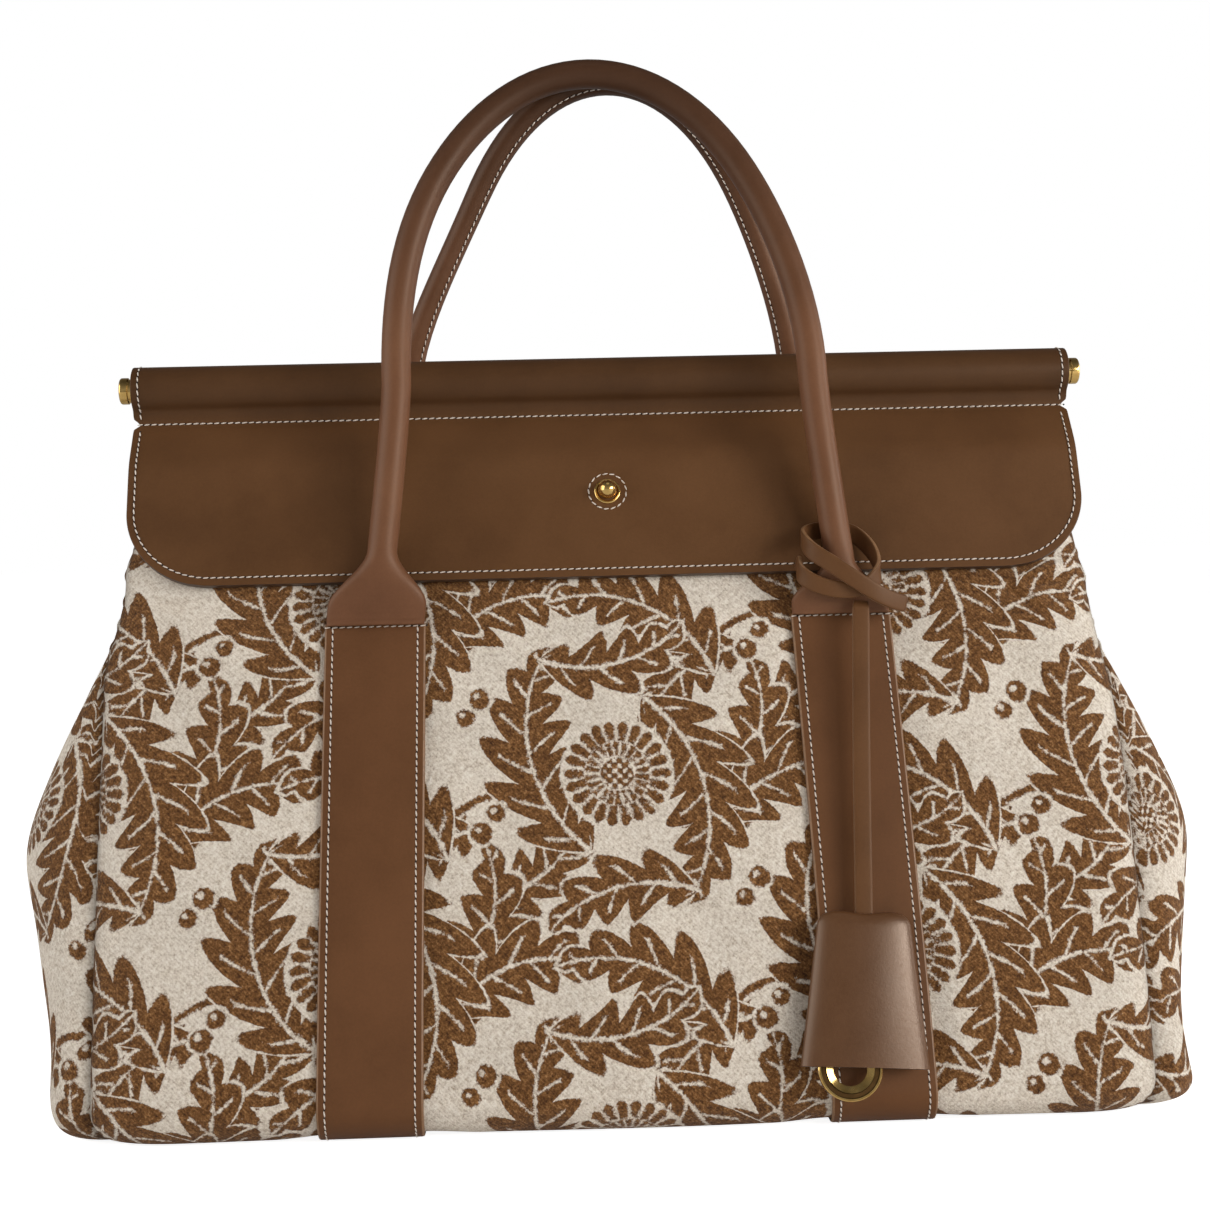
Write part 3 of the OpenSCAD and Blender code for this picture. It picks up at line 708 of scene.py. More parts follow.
def woollen_sheet(name, across, along, place, shift, node):
    """A panel of the cloth: its shape, its place in the design's repeat, painted shade along its side edges,
    and its cut size.
    """
    u, v = np.meshgrid(np.linspace(0, 1, across + 1), np.linspace(0, 1, along + 1))
    px, py = cloth_run(place(u.ravel(), v.ravel()).reshape(along + 1, across + 1, 3))
    # painted shade along the side seams, kept as the third value of the cloth's place
    pinch = hump(np.minimum(px - px[:, :1], px[:, -1:] - px), 0, SEAM_SHADE_REACH)
    cloth = np.stack([px + shift[0], py + shift[1], pinch], 2)
    obj = make_piece(name, mapped_grid(across, along, place), [WOOL], "bag", [node])
    woven = obj.data.attributes.new("cloth_place_and_seam_shade", "FLOAT_VECTOR", "POINT")
    woven.data.foreach_set("vector", cloth.astype(np.float32).ravel())
    return obj


# Woollen panels
STRAP_X = STRAP_GAP / 2
# Folds under the flap's corners: middle x, height, heading, half length, rise
CREASES = [(-186, 217.5, -14, 11, 2.8), (188, 219.5, 15, 13, 2.8), (176, 211, -40, 9, 1.4)]
RIDGE_W = 2.4
VALLEY_W = 2.2
VALLEY_FALL = 4
VALLEY_SHARE = 0.8
# Where the panels' side edges bunch: how far out, height, reach
RIGHT_BUNCHES = [(-3.3, 190, 32), (1.2, 217, 5)]
LEFT_BUNCHES = [(2.5, 230, 9), (1.5, 187, 12)]
# How far the lower edge sags, and how far the cloth stands out in its middle and under the flap
SAG = 1.4
SAG_H = 26
STAND_OUT = 1.5
UNDER_FLAP_SHARE = 0.35


def crease(x, z):
    """Small folds where the cloth bunches, each a ridge above a valley."""
    rise = 0 * x
    for middle_x, middle_z, heading, reach, height in CREASES:
        h = math.radians(heading)
        along = (x - middle_x) * math.cos(h) + (z - middle_z) * math.sin(h)
        over = (z - middle_z) * math.cos(h) - (x - middle_x) * math.sin(h)
        fold = hump(over, 0, RIDGE_W) - VALLEY_SHARE * hump(over, -VALLEY_FALL, VALLEY_W)
        rise = rise + height * fold * hump(along, 0, reach)
    return rise


def humps(z, rises):
    return sum(rise * hump(z, middle, reach) for rise, middle, reach in rises)


def edge_x(z, side):
    """Length of the panels from the middle to the right (1) or the left (-1), with the cloth's bunching."""
    return half_l(z) + np.where(side > 0, humps(z, RIGHT_BUNCHES), humps(z, LEFT_BUNCHES))


def beside_strap(x, reach, room=0):
    """0 under a strap, rising to 1 over a reach beside it."""
    return ease((np.abs(np.abs(x) - STRAP_X) - STRAP_W / 2 + room) / reach)


def settle(x, s):
    """How far the lower edge sags between and beside the straps."""
    return SAG * beside_strap(x, 24, 3) * (1 + 0.25 * np.sin(x / 31 + 1)) * (1 - ease(s / SAG_H))


def puff(x, s):
    """How far the soft cloth stands out between the straps, the seams and the base."""
    z = np.interp(s, PROFILE_RUN, PROFILE[:, 1])
    slack = 1 + 0.45 * np.sin(x / 47 + 0.6) * np.sin(z / 58 + 0.9) + 0.25 * np.sin(x / 23 + z / 31)
    pressed = mix(1, UNDER_FLAP_SHARE, ease((z - 190) / 30))
    return STAND_OUT * beside_strap(x, 14) * slack * ease(s / 40) * pressed


def front_place(u, v, facing=1):
    f = 2 * u - 1
    s = v * FACE_RUN
    depth, z, tuck, out_d, out_z = on_profile(s)
    edge = np.clip((np.abs(f) - EDGE_START) / (1 - EDGE_START), 0, 1)
    x = f * (edge_x(z, f * facing) - tuck)
    d = depth - edge_tuck(depth) * (1 - np.sqrt(1 - edge * edge))
    swell = (puff(x, s) + crease(x, z)) * (1 - edge)
    return np.stack([x, -d - swell * out_d, z + swell * out_z - settle(x, s)], 1)


# How each gusset hangs: its side, then its upper part, heel and toe as how far out, height, reach
RIGHT_HANG = (1, [(-3, 145, 60), (-5.2, 46, 34), (3, 6, 8)])
LEFT_HANG = (-1, [(3, 145, 60), (-3, 46, 34), (-1, 6, 8)])
# Depths of the seams' pinch, of the fold down the middle, and of the seams' ripple
SEAM_PINCH = 2.6
MIDDLE_FOLD = 2.5
SEAM_RIPPLE = 0.7
# Depths of the wide and the small waves of the slack cloth
WIDE_WAVE = 1.2
SMALL_WAVE = 0.6
# How full a gusset's curve is at its foot, above it and where it folds
FOOT_FULL = 0.6
SIDE_FULL = 0.75
FOLD_FULL = 2


def gusset_place(hang):
    """A gusset as if on the right, from the front seam to the back one."""
    side, rises = hang

    def place(u, v):
        s = v * FACE_RUN
        depth, z, tuck = on_profile(s)[:3]
        t = mix(u, (1 - np.cos(np.pi * u)) / 2, 0.6)
        folded = ease((z - FOLD_Z + 20) / 40)
        fullness = mix(mix(FOOT_FULL, SIDE_FULL, ease(z / 70)), FOLD_FULL, folded)
        swell = np.maximum(np.sin(np.pi * t), 0) ** fullness
        lie = mix(np.cos(np.pi * t), 1 - 2 * t, folded)
        inside = np.sin(np.pi * u)
        beside_seam = hump(u, 0.05, 0.04) + hump(u, 0.95, 0.04)
        x = edge_x(z, side) - tuck * (tuck / BOTTOM_R) ** 0.6 + bulge(z) * swell
        x = x - SEAM_PINCH * (hump(u, 0, 0.02) + hump(u, 1, 0.02))
        x = x - MIDDLE_FOLD * hump(u, 0.5, 0.05) * ease((z - 120) / 60)
        x = x + SEAM_RIPPLE * np.sin(0.52 * s + 2 * np.sin(s / 17)) * beside_seam
        small = SMALL_WAVE * np.sin(z / 9 + 5 * u) * ease(z / 30)
        x = x + (WIDE_WAVE * np.sin(9 * u + z / 26) + small) * inside
        x = x + humps(z, rises) * inside
        return np.stack([x, (edge_tuck(depth) - depth) * lie, z - settle(x, s)], 1)
    return place


def base_end(hang, y):
    """Half length of the underside at a depth, up to the gusset's lower edge."""
    f = np.linspace(EDGE_START, 1, 20)
    u = np.linspace(0, 1, 80)
    front = front_place((f + 1) / 2, 0 * f)
    side = gusset_place(hang)(u, 0 * u)
    rim = np.concatenate([front, side, front[::-1] * np.array([1, -1, 1])])
    return np.interp(y, rim[:, 1], rim[:, 0])


def base_place(u, v):
    """Underside, from the front edge to the back one."""
    y = (BASE_D / 2 - BOTTOM_R) * (2 * v - 1)
    x = (1 - 2 * u) * np.where(u < 0.5, base_end(RIGHT_HANG, y), base_end(LEFT_HANG, y))
    return np.stack([x, y, Z_BASE - settle(x, 0 * x)], 1)


def mirrored(place, sign_x, sign_y):
    """The same panel on another side; a single mirror also runs it the other way round."""
    def other(u, v):
        u = 1 - u if sign_x * sign_y < 0 else u
        return place(u, v) * np.array([sign_x, sign_y, 1])
    return other


woollen_sheet("front_cloth", 312, 214, front_place, (0, 0), "front_panel")
woollen_sheet("back_cloth", 236, 160, mirrored(lambda u, v: front_place(u, v, -1), -1, -1), (40, 0),
              "back_panel")
woollen_sheet("right_side_cloth", 150, 190, gusset_place(RIGHT_HANG), (70, 20), "right_gusset")
woollen_sheet("left_side_cloth", 150, 190, mirrored(gusset_place(LEFT_HANG), -1, 1), (-30, 10), "left_gusset")
woollen_sheet("base_cloth", 150, 56, base_place, (0, 0), "base_panel")


# Stitches: slanted dashes of thread, each between two awl holes, which are dark discs of painted shade
STITCH_PITCH = 3
STITCH_L = 2.5
STITCH_W = 0.66
STITCH_H = 0.5
STITCH_SLANT = 0.16
STITCH_RISE = 0.08
HOLE_D = 0.8
HOLE_H = 0.12
# How far a seam's line stands off the leather
SEAM_RISE = 0.12


def dash(bm, scratch, middle, ahead, up, size, finish):
    """One flattened bead of a few faces, turned along a seam."""
    side = up.cross(ahead)
    turn = Matrix((ahead, side, up)).transposed() @ Matrix.Diagonal(Vector(size) / 2)
    place = Matrix.Translation(middle) @ turn.to_4x4() @ Matrix.Rotation(math.pi / 2, 4, "Y")
    bead = bmesh.new()
    bmesh.ops.create_uvsphere(bead, u_segments=6, v_segments=4, radius=1, matrix=place)
    for face in bead.faces:
        face.material_index = finish
    bead.to_mesh(scratch)
    bead.free()
    bm.from_mesh(scratch)


def stitch_rows(name, rows, body):
    """All the stitches of one piece. Each row is a line with the outward direction at each point."""
    bm = bmesh.new()
    scratch = bpy.data.meshes.new("bead")
    for line, out in rows:
        total = lengths(line)[-1]
        count = max(int(round(total / STITCH_PITCH)), 1)
        marks = (np.arange(count) + 0.5) * total / count
        middles = at_length(line, marks)
        tails = at_length(line, marks + 0.5)
        heads = at_length(line, marks - 0.5)
        ups = np.stack([np.interp(marks, lengths(line), out[:, i]) for i in range(3)], 1)
        holes = at_length(line, marks + total / count / 2)
        for middle, head, tail, up, hole in zip(middles, heads, tails, ups, holes):
            up = Vector(up).normalized()
            ahead = Vector(tail - head)
            ahead = (ahead - ahead.dot(up) * up).normalized()
            slanted = (ahead + STITCH_SLANT * up.cross(ahead)).normalized()
            raised = Vector(middle) + STITCH_RISE * up
            dash(bm, scratch, raised, slanted, up, (STITCH_L, STITCH_W, STITCH_H), 0)
            # a dark disc of painted shade at the awl hole
            dash(bm, scratch, Vector(hole), ahead, up, (HOLE_D, HOLE_D, HOLE_H), 1)
    bpy.data.meshes.remove(scratch)
    return make_piece(name, bm, [THREAD, HOLE_SHADE], body)


# Straps: each one strip from the front, under the base and up the back
def strap_line():
    """The strap's inner side in Y and Z, from its top in front to its top behind."""
    s = np.linspace(run_at(STRAP_TOP_Z), 0, 150)
    depth, z = on_profile(s)[:2]
    front = np.stack([-depth, z], 1)
    return np.concatenate([front, front[::-1] * np.array([-1, 1])])


STRAP_LINE = strap_line()
STRAP_RUN = lengths(STRAP_LINE)[-1]
# Room for the thread between the strap and the floor, and the height below which the strap takes it
TREAD_ROOM = 0.55
TREAD_Z = 14
TREAD_H = 10
STRAP_CROWN = 0.35
STRAP_INSET = 3.3
# Distances of the strap's long seams and of its cross seams from its ends
LONG_SEAM_ROOM = 1.2
CROSS_SEAM_ROOM = 1.3
CROSS_SEAM_RISE = 0.2
CROSS_SEAM_PAST = 0.4


def under_base(yz):
    """1 under the base, 0 up the faces."""
    return ease((TREAD_Z - yz[:, 1]) / TREAD_H)


def strap(side, name, node, slant):
    """A strap; slant is how far its top in front and its lowest part lie to the right of its place."""
    def middle(s):
        fall = np.minimum(s, STRAP_RUN - s) / run_at(STRAP_TOP_Z)
        return side * STRAP_X + mix(slant[0] * (s < STRAP_RUN / 2), slant[1], np.minimum(fall, 1))

    def place(u, v):
        yz, out = line_frame(STRAP_LINE, v * STRAP_RUN, -1)
        crown = STRAP_CROWN * (1 - (2 * u - 1) ** 2)
        yz = yz + mix(crown, -TREAD_ROOM, under_base(yz))[:, None] * out
        return with_x(middle(v * STRAP_RUN) + STRAP_W * (0.5 - u), yz)

    def row(x, s, rise):
        yz, out = line_frame(STRAP_LINE, s, -1)
        yz = yz + (STRAP_T + mix(rise, -TREAD_ROOM, under_base(yz)))[:, None] * out
        return with_x(middle(s) + x, yz), with_x(0 * x, out)

    bm = mapped_grid(16, 260, place)
    # the pale finish on the strap's softened corners is a painted highlight along its edges
    obj = make_piece(name, bm, [STRAP_CALF, DARK_EDGE, PALE_EDGE_PAINT_AND_HIGHLIGHT], "bag", [node])
    thicken(obj, STRAP_T, 1, 0.9)
    s = np.linspace(LONG_SEAM_ROOM, STRAP_RUN - LONG_SEAM_ROOM, 400)
    rows = [row(0 * s + way * (STRAP_W / 2 - STRAP_INSET), s, SEAM_RISE) for way in (-1, 1)]
    x = np.linspace(-STRAP_W / 2 - CROSS_SEAM_PAST, STRAP_W / 2 + CROSS_SEAM_PAST, 40)
    for mark in (CROSS_SEAM_ROOM, STRAP_RUN - CROSS_SEAM_ROOM):
        rows.append(row(x, np.full(40, mark), CROSS_SEAM_RISE))
    stitch_rows(name + "_stitches", rows, "bag")


strap(-1, "left_strap_leather", "left_strap", (0, -3))
strap(1, "right_strap_leather", "right_strap", (-2.5, 3))


# Flap: a sewn tunnel round the rod, down the front past the mouth, and onto the back panel
def smoothed(line, reach):
    """A line of even steps with its corners rounded over a number of points."""
    kernel = np.hanning(reach + 2)[1:-1]
    kernel = kernel / kernel.sum()
    half = reach // 2
    padded = np.concatenate([2 * line[0] - line[half:0:-1], line, 2 * line[-1] - line[-2:-half - 2:-1]])
    return np.stack([np.convolve(padded[:, i], kernel, "valid") for i in range(line.shape[1])], 1)


def even_steps(line, step):
    total = lengths(line)[-1]
    return at_length(line, np.linspace(0, total, int(total / step)))


FLAP_STEP = 0.4


def flap_leg(bottom_z, room):
    """Outer side of one leg of the flap, from its edge up to the neck."""
    s = np.linspace(run_at(bottom_z) - room * 0.35, FACE_RUN, 40)
    depth, z, _, out_d, out_z = on_profile(s)
    leg = np.stack([-depth - room * out_d, z + room * out_z], 1)
    leg = np.concatenate([leg, [[-FLAP_T - 0.2, NECK_Z]]])
    return smoothed(even_steps(leg, FLAP_STEP), 41)


def flap_line():
    """Outer side of the flap in Y and Z, from its lower edge in front to its edge behind."""
    turn = np.radians(np.linspace(150, -150, 90))
    tunnel = np.stack([-TUNNEL_R * np.sin(turn), ROD_Z + TUNNEL_R * np.cos(turn)], 1)
    front = flap_leg(FLAP_BOTTOM_Z, FLAP_ROOM + FLAP_T)
    back = flap_leg(FLAP_BACK_Z, FLAP_T)[::-1] * np.array([-1, 1])
    return smoothed(even_steps(np.concatenate([front, tunnel, back]), FLAP_STEP), 9)


FLAP_LINE = flap_line()
FLAP_RUN = lengths(FLAP_LINE)[-1]
NECK_AT = int(np.argmax(FLAP_LINE[:, 1] >= NECK_Z))
NECK_FRONT = float(lengths(FLAP_LINE)[NECK_AT])
NECK_BACK = FLAP_RUN - float(lengths(FLAP_LINE[::-1])[int(np.argmax(FLAP_LINE[::-1, 1] >= NECK_Z))])
CORNER_Z = FLAP_CORNER * FLAP_CORNER_FALL
NOTCH_W = 1.4
FLAP_RIPPLE = 0.35
FLAP_INSET = 3.2


def flap_half_width(s, z):
    """Half the flap's width: round lower corners in front, small notches at the tunnel's stitch lines."""
    fall = np.clip((FLAP_BOTTOM_Z + CORNER_Z - z) / CORNER_Z, 0, 1)
    corner = np.where(s < NECK_FRONT, FLAP_CORNER * (1 - np.sqrt(1 - fall * fall)), 0)
    notch = FLAP_NOTCH * (hump(s, NECK_FRONT, NOTCH_W) + hump(s, NECK_BACK, NOTCH_W))
    return FLAP_W / 2 - corner - notch


def flap():
    def place(u, v):
        s = FLAP_RUN * v
        yz, out = line_frame(FLAP_LINE, s, 1)
        half = flap_half_width(s, np.maximum(yz[:, 1], FLAP_BOTTOM_Z))
        x = (2 * u - 1) * half
        ripple = FLAP_RIPPLE * np.sin(x / 60 + 0.7) * np.sin(s / 24) * ease((NECK_FRONT - s) / 20)
        return with_x(x, yz + ripple[:, None] * out)

    bm = mapped_grid(120, 170, place)
    obj = make_piece("flap_leather", bm, [FLAP_CALF, DARK_EDGE], "bag",
                     ["flap", "flap_lining"])
    thicken(obj, FLAP_T, -1, 0.7)
    stitch_rows("flap_stitches", flap_seams(), "bag")


def flap_row(x, s):
    yz, out = line_frame(FLAP_LINE, s, 1)
    return with_x(x, yz + SEAM_RISE * out), with_x(0 * x, out)


def flap_seams():
    """Border round the front, the lines under the tunnel, and the tunnel's ends."""
    edge = FLAP_W / 2 - FLAP_INSET
    run = lengths(FLAP_LINE)

    def s_at(z):
        return np.interp(z, FLAP_LINE[:NECK_AT, 1], run[:NECK_AT])

    turn = np.linspace(0, np.pi / 2, 30)
    corner_x = FLAP_W / 2 - FLAP_CORNER + (FLAP_CORNER - FLAP_INSET) * np.cos(turn)
    corner_z = FLAP_BOTTOM_Z + CORNER_Z - (CORNER_Z - FLAP_INSET) * np.sin(turn)
    down_z = np.linspace(NECK_Z - 3, FLAP_BOTTOM_Z + CORNER_Z, 30, endpoint=False)
    half_x = np.concatenate([0 * down_z + edge, corner_x])
    half_z = np.concatenate([down_z, corner_z])
    border_x = np.concatenate([half_x, -half_x[::-1]])
    border_z = np.concatenate([half_z, half_z[::-1]])
    rows = [flap_row(border_x, s_at(border_z))]
    x = np.linspace(-edge - 2, edge + 2, 200)
    rows += [flap_row(x, np.full(200, neck)) for neck in (NECK_FRONT, NECK_BACK)]
    low = FLAP_RUN - FLAP_INSET
    for first, last, count in ((NECK_FRONT + 2, NECK_BACK - 2, 80), (NECK_BACK + 2, low, 60)):
        s = np.linspace(first, last, count)
        rows += [flap_row(np.full(count, side * edge), s) for side in (-1, 1)]
    rows.append(flap_row(np.linspace(-edge, edge, 200), np.full(200, low)))
    return rows


flap()


# Handles: a flat foot above each strap, flaring into a rolled tube that arches over
HANDLE_R = 6.25
HANDLE_TOP_Z = 445
ARCH_W = 176
ARCH_Z = 304
FOOT_W = 41
FOOT_T = 5.5
FLARE_H = 36
FOOT_ROOM = 0.4
KNOT_ROOM = 2.4
HANDLE_ROOM = 0.4
SPLAY_CURVE = 1.2
LEAN_CURVE = 1.25
FOOT_SQUARE = 0.45
FOOT_Z = STRAP_TOP_Z + FOOT_ROOM
FOOT_Y = lean(STRAP_TOP_Z) + FOOT_ROOM + FOOT_T / 2
CLEAR_Y = lean(FOOT_Z + FLARE_H) + FLAP_ROOM + FLAP_T + LACE_T + 2 * KNOT_ROOM + HANDLE_R
APEX_Y = HANDLE_R + HANDLE_ROOM / 2
ARCH_H = HANDLE_TOP_Z - HANDLE_R - ARCH_Z
# Height above which a foot narrows, and the height it takes; the laced foot narrows lower down
NARROWS = (8, 23)
LACED_NARROWS = (5, 18)
# How far the laced foot lies to the left, and the height over which that fades
LACED_SHIFT = 2.5
LACED_SHIFT_H = 26
# Height above which an arch is narrowed and shifted, and the height that takes to be full
DRAWN_Z = 298
DRAWN_H = 96
# The sewn seam inside the tube: its turn round the section, depth and width, and its thread's turn from it
SEAM_TURN = 0.33
SEAM_DEPTH = 0.35
SEAM_W = 0.012
THREAD_TURN = 0.045
PUCKER = 0.28


def handle_y(z):
    up = np.clip((z - FOOT_Z - FLARE_H / 2) / (ARCH_Z + ARCH_H - FOOT_Z - FLARE_H / 2), 0, 1)
    low = 1 - np.clip((z - FOOT_Z) / (FLARE_H / 2), 0, 1)
    return mix(CLEAR_Y, APEX_Y, up ** LEAN_CURVE) - (CLEAR_Y - FOOT_Y) * low * low


def handle_stations():
    """Centre, outward direction and height above the foot at each ring of a handle, right foot to left."""
    z = mix(FOOT_Z, ARCH_Z, np.linspace(0, 1, 60) ** 1.3)
    x = mix(ARCH_W / 2, STRAP_X, np.clip((ARCH_Z - z) / (ARCH_Z - FOOT_Z), 0, 1) ** SPLAY_CURVE)
    arm = np.stack([x, -handle_y(z), z], 1)
    turn = np.radians(np.arange(3, 180, 3))
    arch_z = ARCH_Z + ARCH_H * np.sin(turn)
    arch = np.stack([ARCH_W / 2 * np.cos(turn), -handle_y(arch_z), arch_z], 1)
    across = unit(np.stack([np.cos(turn) * ARCH_H, 0 * turn, np.sin(turn) * ARCH_W / 2], 1))
    flip = np.array([-1, 1, 1])
    side = np.tile([1.0, 0, 0], (len(z), 1))
    centre = np.concatenate([arm, arch, arm[::-1] * flip])
    out = np.concatenate([side, across, -side])
    height = np.concatenate([z - FOOT_Z, np.full(len(turn), ARCH_Z - FOOT_Z), z[::-1] - FOOT_Z])
    return centre, out, height


def handle(name, node, body, facing, narrowed, shifted):
    """A handle on the front (1) or the back (-1), its arch narrowed by a share and shifted to the right."""
    centre, out, height = handle_stations()
    last = len(centre) - 1

    def ring(u, k):
        h = np.clip(height[k] / FLARE_H, 0, 1)
        laced = (centre[k, 0] > 0) & (facing > 0)
        start, reach = [np.where(laced, low, high) for low, high in zip(LACED_NARROWS, NARROWS)]
        flare = 1 - ease((height[k] - start) / reach)
        wide = mix(HANDLE_R, FOOT_W / 2, flare)
        thick = mix(FOOT_T / 2, HANDLE_R, ease(h))
        a, b = oval(u, 1 - FOOT_SQUARE * (1 - h))
        seam = SEAM_DEPTH * hump(u, SEAM_TURN, SEAM_W)
        pinch = PUCKER * hump(height[k], 3, 5) * np.sin(height[k] * 2.6 + 1.4 * np.sin(7 * a))
        a = a * (wide - seam)
        b = b * (thick - seam) + np.sign(b) * pinch
        spot = centre[k] + a[:, None] * out[k]
        spot[:, 1] += b
        spot[:, 0] -= LACED_SHIFT * laced * (1 - ease(height[k] / LACED_SHIFT_H))
        arch = ease((spot[:, 2] - DRAWN_Z) / DRAWN_H)
        spot[:, 0] = spot[:, 0] * (1 - narrowed * arch) + shifted * arch
        return spot * np.array([1, facing, 1])

    def place(u, v):
        return ring(u, np.rint(v * last).astype(int))

    bm = mapped_grid(32, last, place, closed=True)
    close_ends(bm)
    make_piece(name, bm, [HANDLE_CALF], body, [node])
    k = np.arange(24, last - 23)
    line = ring(np.full(len(k), SEAM_TURN + THREAD_TURN), k)
    up = unit(line - ring(np.full(len(k), SEAM_TURN + THREAD_TURN + 0.5), k))
    stitch_rows(name + "_stitches", [(line + 0.1 * up, up)], body)


handle("front_handle_leather", "front_handle", "front_handle", 1, 0, -3.5)
handle("back_handle_leather", "back_handle", "back_handle", -1, 0.14, 4.8)


# Hardware: turned pieces, each a profile of radius and height spun round an axis
def turned(name, profile, place, body, node, band=(0, 0)):
    """A gold piece; the faces in a band of radii are matt, and darker as painted shade."""
    bm = bmesh.new()
    verts = [bm.verts.new((r, 0, h)) for r, h in profile]
    edges = [bm.edges.new(pair) for pair in zip(verts, verts[1:])]
    bmesh.ops.spin(bm, geom=verts + edges, cent=(0, 0, 0), axis=(0, 0, 1), angle=2 * math.pi, steps=72,
                   use_merge=True)
    bmesh.ops.remove_doubles(bm, verts=bm.verts, dist=0.001)
    bmesh.ops.recalc_face_normals(bm, faces=bm.faces)
    for face in bm.faces:
        face.material_index = int(band[0] < face.calc_center_median().xy.length < band[1])
    bm.transform(place)
    obj = make_piece(name, bm, [GOLD, MATT_GOLD_PAINTED_SHADE], body, [node])
    obj.data.set_sharp_from_angle(angle=math.radians(35))
    return obj


def arc_points(middle_r, middle_h, r, first, last, count):
    """Points of an arc in a profile, from one angle to another."""
    turn = np.radians(np.linspace(first, last, count))
    return [(middle_r + r * math.cos(a), middle_h + r * math.sin(a)) for a in turn]


STUD_Z = 255.5
STUD_TILT = 20
BALL_D = 7.8
BALL_UP = FLAP_ROOM + FLAP_T + 0.35 * BALL_D
STUD_SEAM_R = 8
STUD_SEAM_RISE = 0.15
STUD_SPOT = Matrix.Translation((0, -float(lean(STUD_Z)), STUD_Z))
STUD = STUD_SPOT @ Matrix.Rotation(math.radians(90 - STUD_TILT), 4, "X")
ball = [(0, -5.4), (1.7, -5.4), (1.7, 0), (4.1, 0), (4.1, 1.1), (3.8, 1.4), (2, 1.4)]
ball += arc_points(0, BALL_UP, BALL_D / 2, -59, 90, 24)
turned("stud_ball", [(max(r, 0), h) for r, h in ball], STUD, "bag", "ball_stud")
rim = FLAP_ROOM + FLAP_T
eyelet = [(4.3, FLAP_ROOM), (4.9, FLAP_ROOM), (4.9, rim), (5.7, rim)]
eyelet += arc_points(5.0, rim + 0.2, 0.7, 0, 180, 12) + [(4.3, FLAP_ROOM)]
turned("stud_eyelet", eyelet, STUD, "bag", "flap_eyelet")
circle = [(x, y, rim + STUD_SEAM_RISE) for x, y in arc_points(0, 0, STUD_SEAM_R, 0, 360, 121)]
circle = np.array([STUD @ Vector(p) for p in circle])
stud_out = np.array(STUD.to_3x3() @ Vector((0, 0, 1)))
stitch_rows("stud_stitches", [(circle, np.tile(stud_out, (len(circle), 1)))], "bag")

ROD_L = FLAP_W - 2
CAP_R = 5.75
cap = [(0, -14), (2.5, -14), (2.5, 0), (CAP_R - 0.6, 0), (CAP_R - 0.6, 3.1), (CAP_R, 3.5)]
cap += arc_points(CAP_R - 1, 6, 1, 0, 90, 6) + [(0, 7)]
for side, name, node in ((1, "right_rod_end", "right_rod_cap"), (-1, "left_rod_end", "left_rod_cap")):
    spot = Matrix.Translation((side * ROD_L / 2, 0, ROD_Z)) @ Matrix.Rotation(side * math.pi / 2, 4, "Y")
    turned(name, cap, spot, "bag", node)

LACE_TILT = math.atan2(LACE_DIR[1], math.hypot(LACE_DIR[0], LACE_DIR[2]))
LACE_TURN = math.atan2(LACE_DIR[0], LACE_DIR[2])
ALONG_LACE = Matrix.Rotation(LACE_TURN, 4, "Y") @ Matrix.Rotation(-LACE_TILT, 4, "X")
RING_HANG = 12
RING_R = RING_D / 2
RING_BORE = 6.75
ring_side = [(RING_R, 1.0), (RING_R - 0.35, 1.4), (RING_R - 1, 1.4), (RING_R - 1.3, 0.9), (RING_R - 2.9, 0.9),
             (RING_R - 3.2, 1.4), (RING_BORE, 0.2)]
ring_section = ring_side + [(r, -h) for r, h in reversed(ring_side)] + [ring_side[0]]
ring_middle = Vector(on_lace(BELL_BOTTOM_Z) - np.array([RING_HANG / 2, 0, 0]))
ring_place = Matrix.Translation(ring_middle) @ ALONG_LACE @ Matrix.Rotation(math.pi / 2, 4, "X")
# the ring's groove takes dark matt gold as painted shade
groove_shade_band = (RING_R - 3.1, RING_R - 1.1)
lace_ring = turned("lace_end_ring", ring_section, ring_place, "bag", "lace_ring", groove_shade_band)


# Bell: moulded leather, open below, with a slot in its top for the lace
BELL_H = 61
BELL_W = 51
BELL_TOP_W = 36.5
BELL_T = 12
BELL_TOP_T = 9
BELL_WALL = 1.7
BELL_CORNER = 6
BELL_SWELL = 0.8
# Share of the mesh in the bell's top, and the dip of that top round the slot: depth, reach, height
TOP_SHARE = 0.12
DIP = 1.2
DIP_REACH = 7
DIP_H = 8
SLOT_W = 9
SLOT_T = 3.2


def bell():
    def place(u, v):
        down = np.clip((v - TOP_SHARE) / (1 - TOP_SHARE), 0, 1)
        h = down * BELL_H
        near = np.clip(h / BELL_CORNER, 0, 1)
        shoulder = 1 - np.sqrt(1 - (1 - near) ** 2)
        wide = mix(BELL_TOP_W, BELL_W, down) / 2 - BELL_CORNER * shoulder
        thick = mix(BELL_TOP_T, BELL_T, down) / 2 + BELL_SWELL * np.sin(np.pi * down)
        thick = thick - 0.2 * BELL_TOP_T * shoulder
        top = ease(v / TOP_SHARE)
        wide = mix(SLOT_W / 2, wide, top)
        thick = mix(SLOT_T / 2, thick, top)
        a, b = oval(u, 1)
        dip = DIP * hump(a * wide, 0, DIP_REACH) * (1 - ease(h / DIP_H))
        return np.stack([a * wide, b * thick, -h - dip], 1)

    bm = mapped_grid(72, 60, place, closed=True)
    bmesh.ops.recalc_face_normals(bm, faces=bm.faces)
    bm.transform(Matrix.Translation(Vector(on_lace(BELL_BOTTOM_Z) + BELL_H * LACE_DIR)) @ ALONG_LACE)
    obj = make_piece("bell_leather", bm, [BELL_CALF, DARK_EDGE], "clochette", ["clochette"])
    return thicken(obj, BELL_WALL, -1, 0.4)


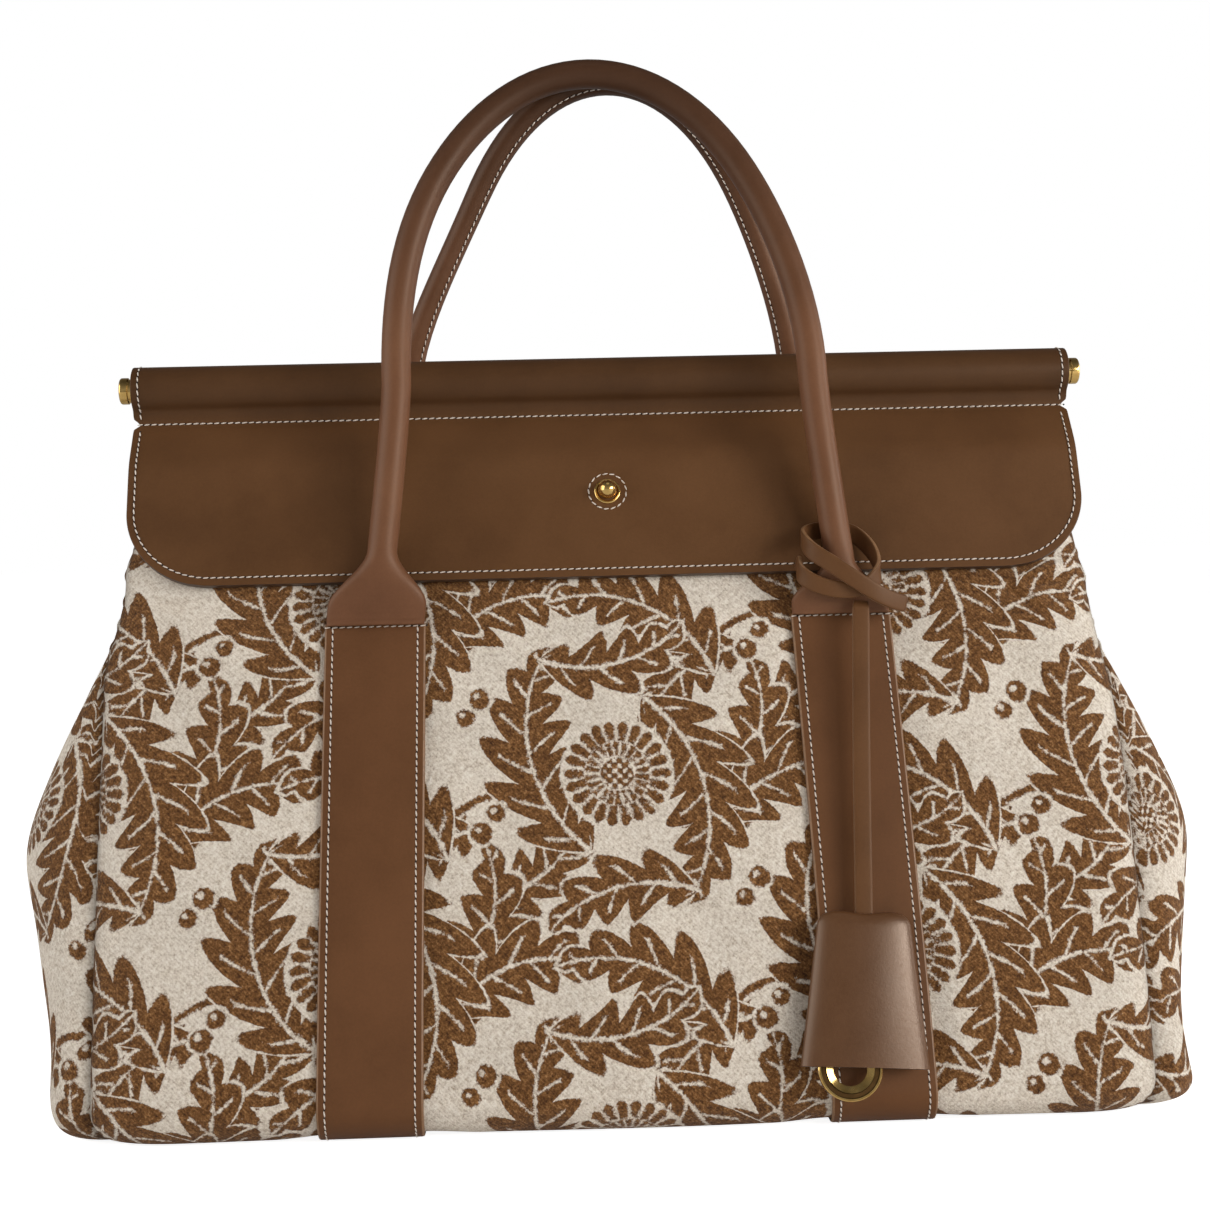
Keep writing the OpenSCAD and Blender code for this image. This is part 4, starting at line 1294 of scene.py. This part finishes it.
bell_leather = bell()
strand_line * MM

# Lining: its solid's shape, drawn in where the cloth sides sink
RIM_Z = 222
RIM_H = 26
# Along the bag and across it: how far in, where that starts, and the distance it takes
DRAWN_X = (9, 175, 30)
DRAWN_Y = (1.6, 12, 10)


def drawn_in(value, share, room, start, reach):
    return value - math.copysign(room * share * ease((abs(value) - start) / reach), value)


def lining():
    bm = bmesh.new()
    bm.from_mesh(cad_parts["lining"].data)
    bm.transform(Matrix.Scale(1 / MM, 4))
    bmesh.ops.remove_doubles(bm, verts=bm.verts, dist=0.001)
    for vert in bm.verts:
        x, y, z = vert.co
        below_rim = 1 - ease((z - RIM_Z) / RIM_H)
        vert.co.x = drawn_in(x, below_rim, *DRAWN_X)
        vert.co.y = drawn_in(y, below_rim, *DRAWN_Y)
    obj = make_piece("lining_bag", bm, [LINING], "bag", ["lining"])
    obj.data.set_sharp_from_angle(angle=math.radians(35))


lining()

# Pieces that keep their solid's shape
for nodes, finish in (
    (("base_board",), BOARD),
    (("front_facing", "back_facing"), FLAP_CALF),
    (("top_rod",), STEEL),
    (("stud_washer",), GOLD),
):
    for node in nodes:
        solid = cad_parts[node]
        solid.data.materials.clear()
        solid.data.materials.append(finish)


# Pale floor and soft light
SKY_LIGHT = 0.34
ZENITH_LIGHT = 0.06
FLOOR_GLOW = 1.02
# Place in metres, size and power of each lamp
LAMPS = {
    "key_light": ((1.75, -1.2, 0.75), 0.8, 22),
    "window_light": ((1.2, -1.7, 0.6), 0.6, 7),
    "left_light": ((-2.0, -0.7, 0.75), 2.0, 28),
    "right_light": ((1.8, 0.3, 0.5), 0.8, 8),
    "top_light": ((0.1, -0.6, 2.2), 1.0, 1),
}


def seen_by_camera(nodes):
    """1 for what the camera sees, 0 for light that falls on the pieces."""
    rays = nodes.add("ShaderNodeLightPath").outputs
    return nodes.math("MAXIMUM", rays["Is Camera Ray"], rays["Is Transmission Ray"])


def pale_floor():
    f = Finish("pale_floor")
    pale = f.ramp(f.noise(400, 2), (0.3, (0.84, 0.84, 0.84, 1)), (0.7, (0.88, 0.88, 0.88, 1)))
    f.finish(pale, 0.9, Specular_IOR_Level=0.1)
    f.put(f.shader.inputs["Emission Color"], pale)
    f.put(f.shader.inputs["Emission Strength"], f.math("MULTIPLY", seen_by_camera(f), FLOOR_GLOW))
    bm = bmesh.new()
    bmesh.ops.create_grid(bm, x_segments=1, y_segments=1, size=40)
    mesh = bpy.data.meshes.new("floor")
    bm.to_mesh(mesh)
    bm.free()
    mesh.materials.append(f.material)
    floor = bpy.data.objects.new("floor", mesh)
    bpy.context.collection.objects.link(floor)


def studio():
    pale_floor()
    world = bpy.data.worlds.new("studio")
    bpy.context.scene.world = world
    world.use_nodes = True
    sky = Nodes(world.node_tree)
    towards = sky.add("ShaderNodeTexCoord").outputs["Generated"]
    height = sky.add("ShaderNodeSeparateXYZ", Vector=towards).outputs["Z"]
    light = sky.span(height, 0, 1, SKY_LIGHT, ZENITH_LIGHT)
    background = sky.tree.nodes["Background"]
    background.inputs["Color"].default_value = (1, 1, 1, 1)
    sky.put(background.inputs["Strength"], sky.span(seen_by_camera(sky), 0, 1, light, 1))
    for name, (spot, size, power) in LAMPS.items():
        lamp(name, spot, size, power)


def lamp(name, spot, size, power):
    light = bpy.data.lights.new(name, "AREA")
    light.size = size
    light.energy = power
    obj = bpy.data.objects.new(name, light)
    aim = Vector((0, 0, 0.2)) - Vector(spot)
    obj.matrix_world = Matrix.Translation(spot) @ aim.to_track_quat("-Z", "Y").to_matrix().to_4x4()
    bpy.context.collection.objects.link(obj)


studio()
bpy.context.scene.view_settings.view_transform = "Standard"
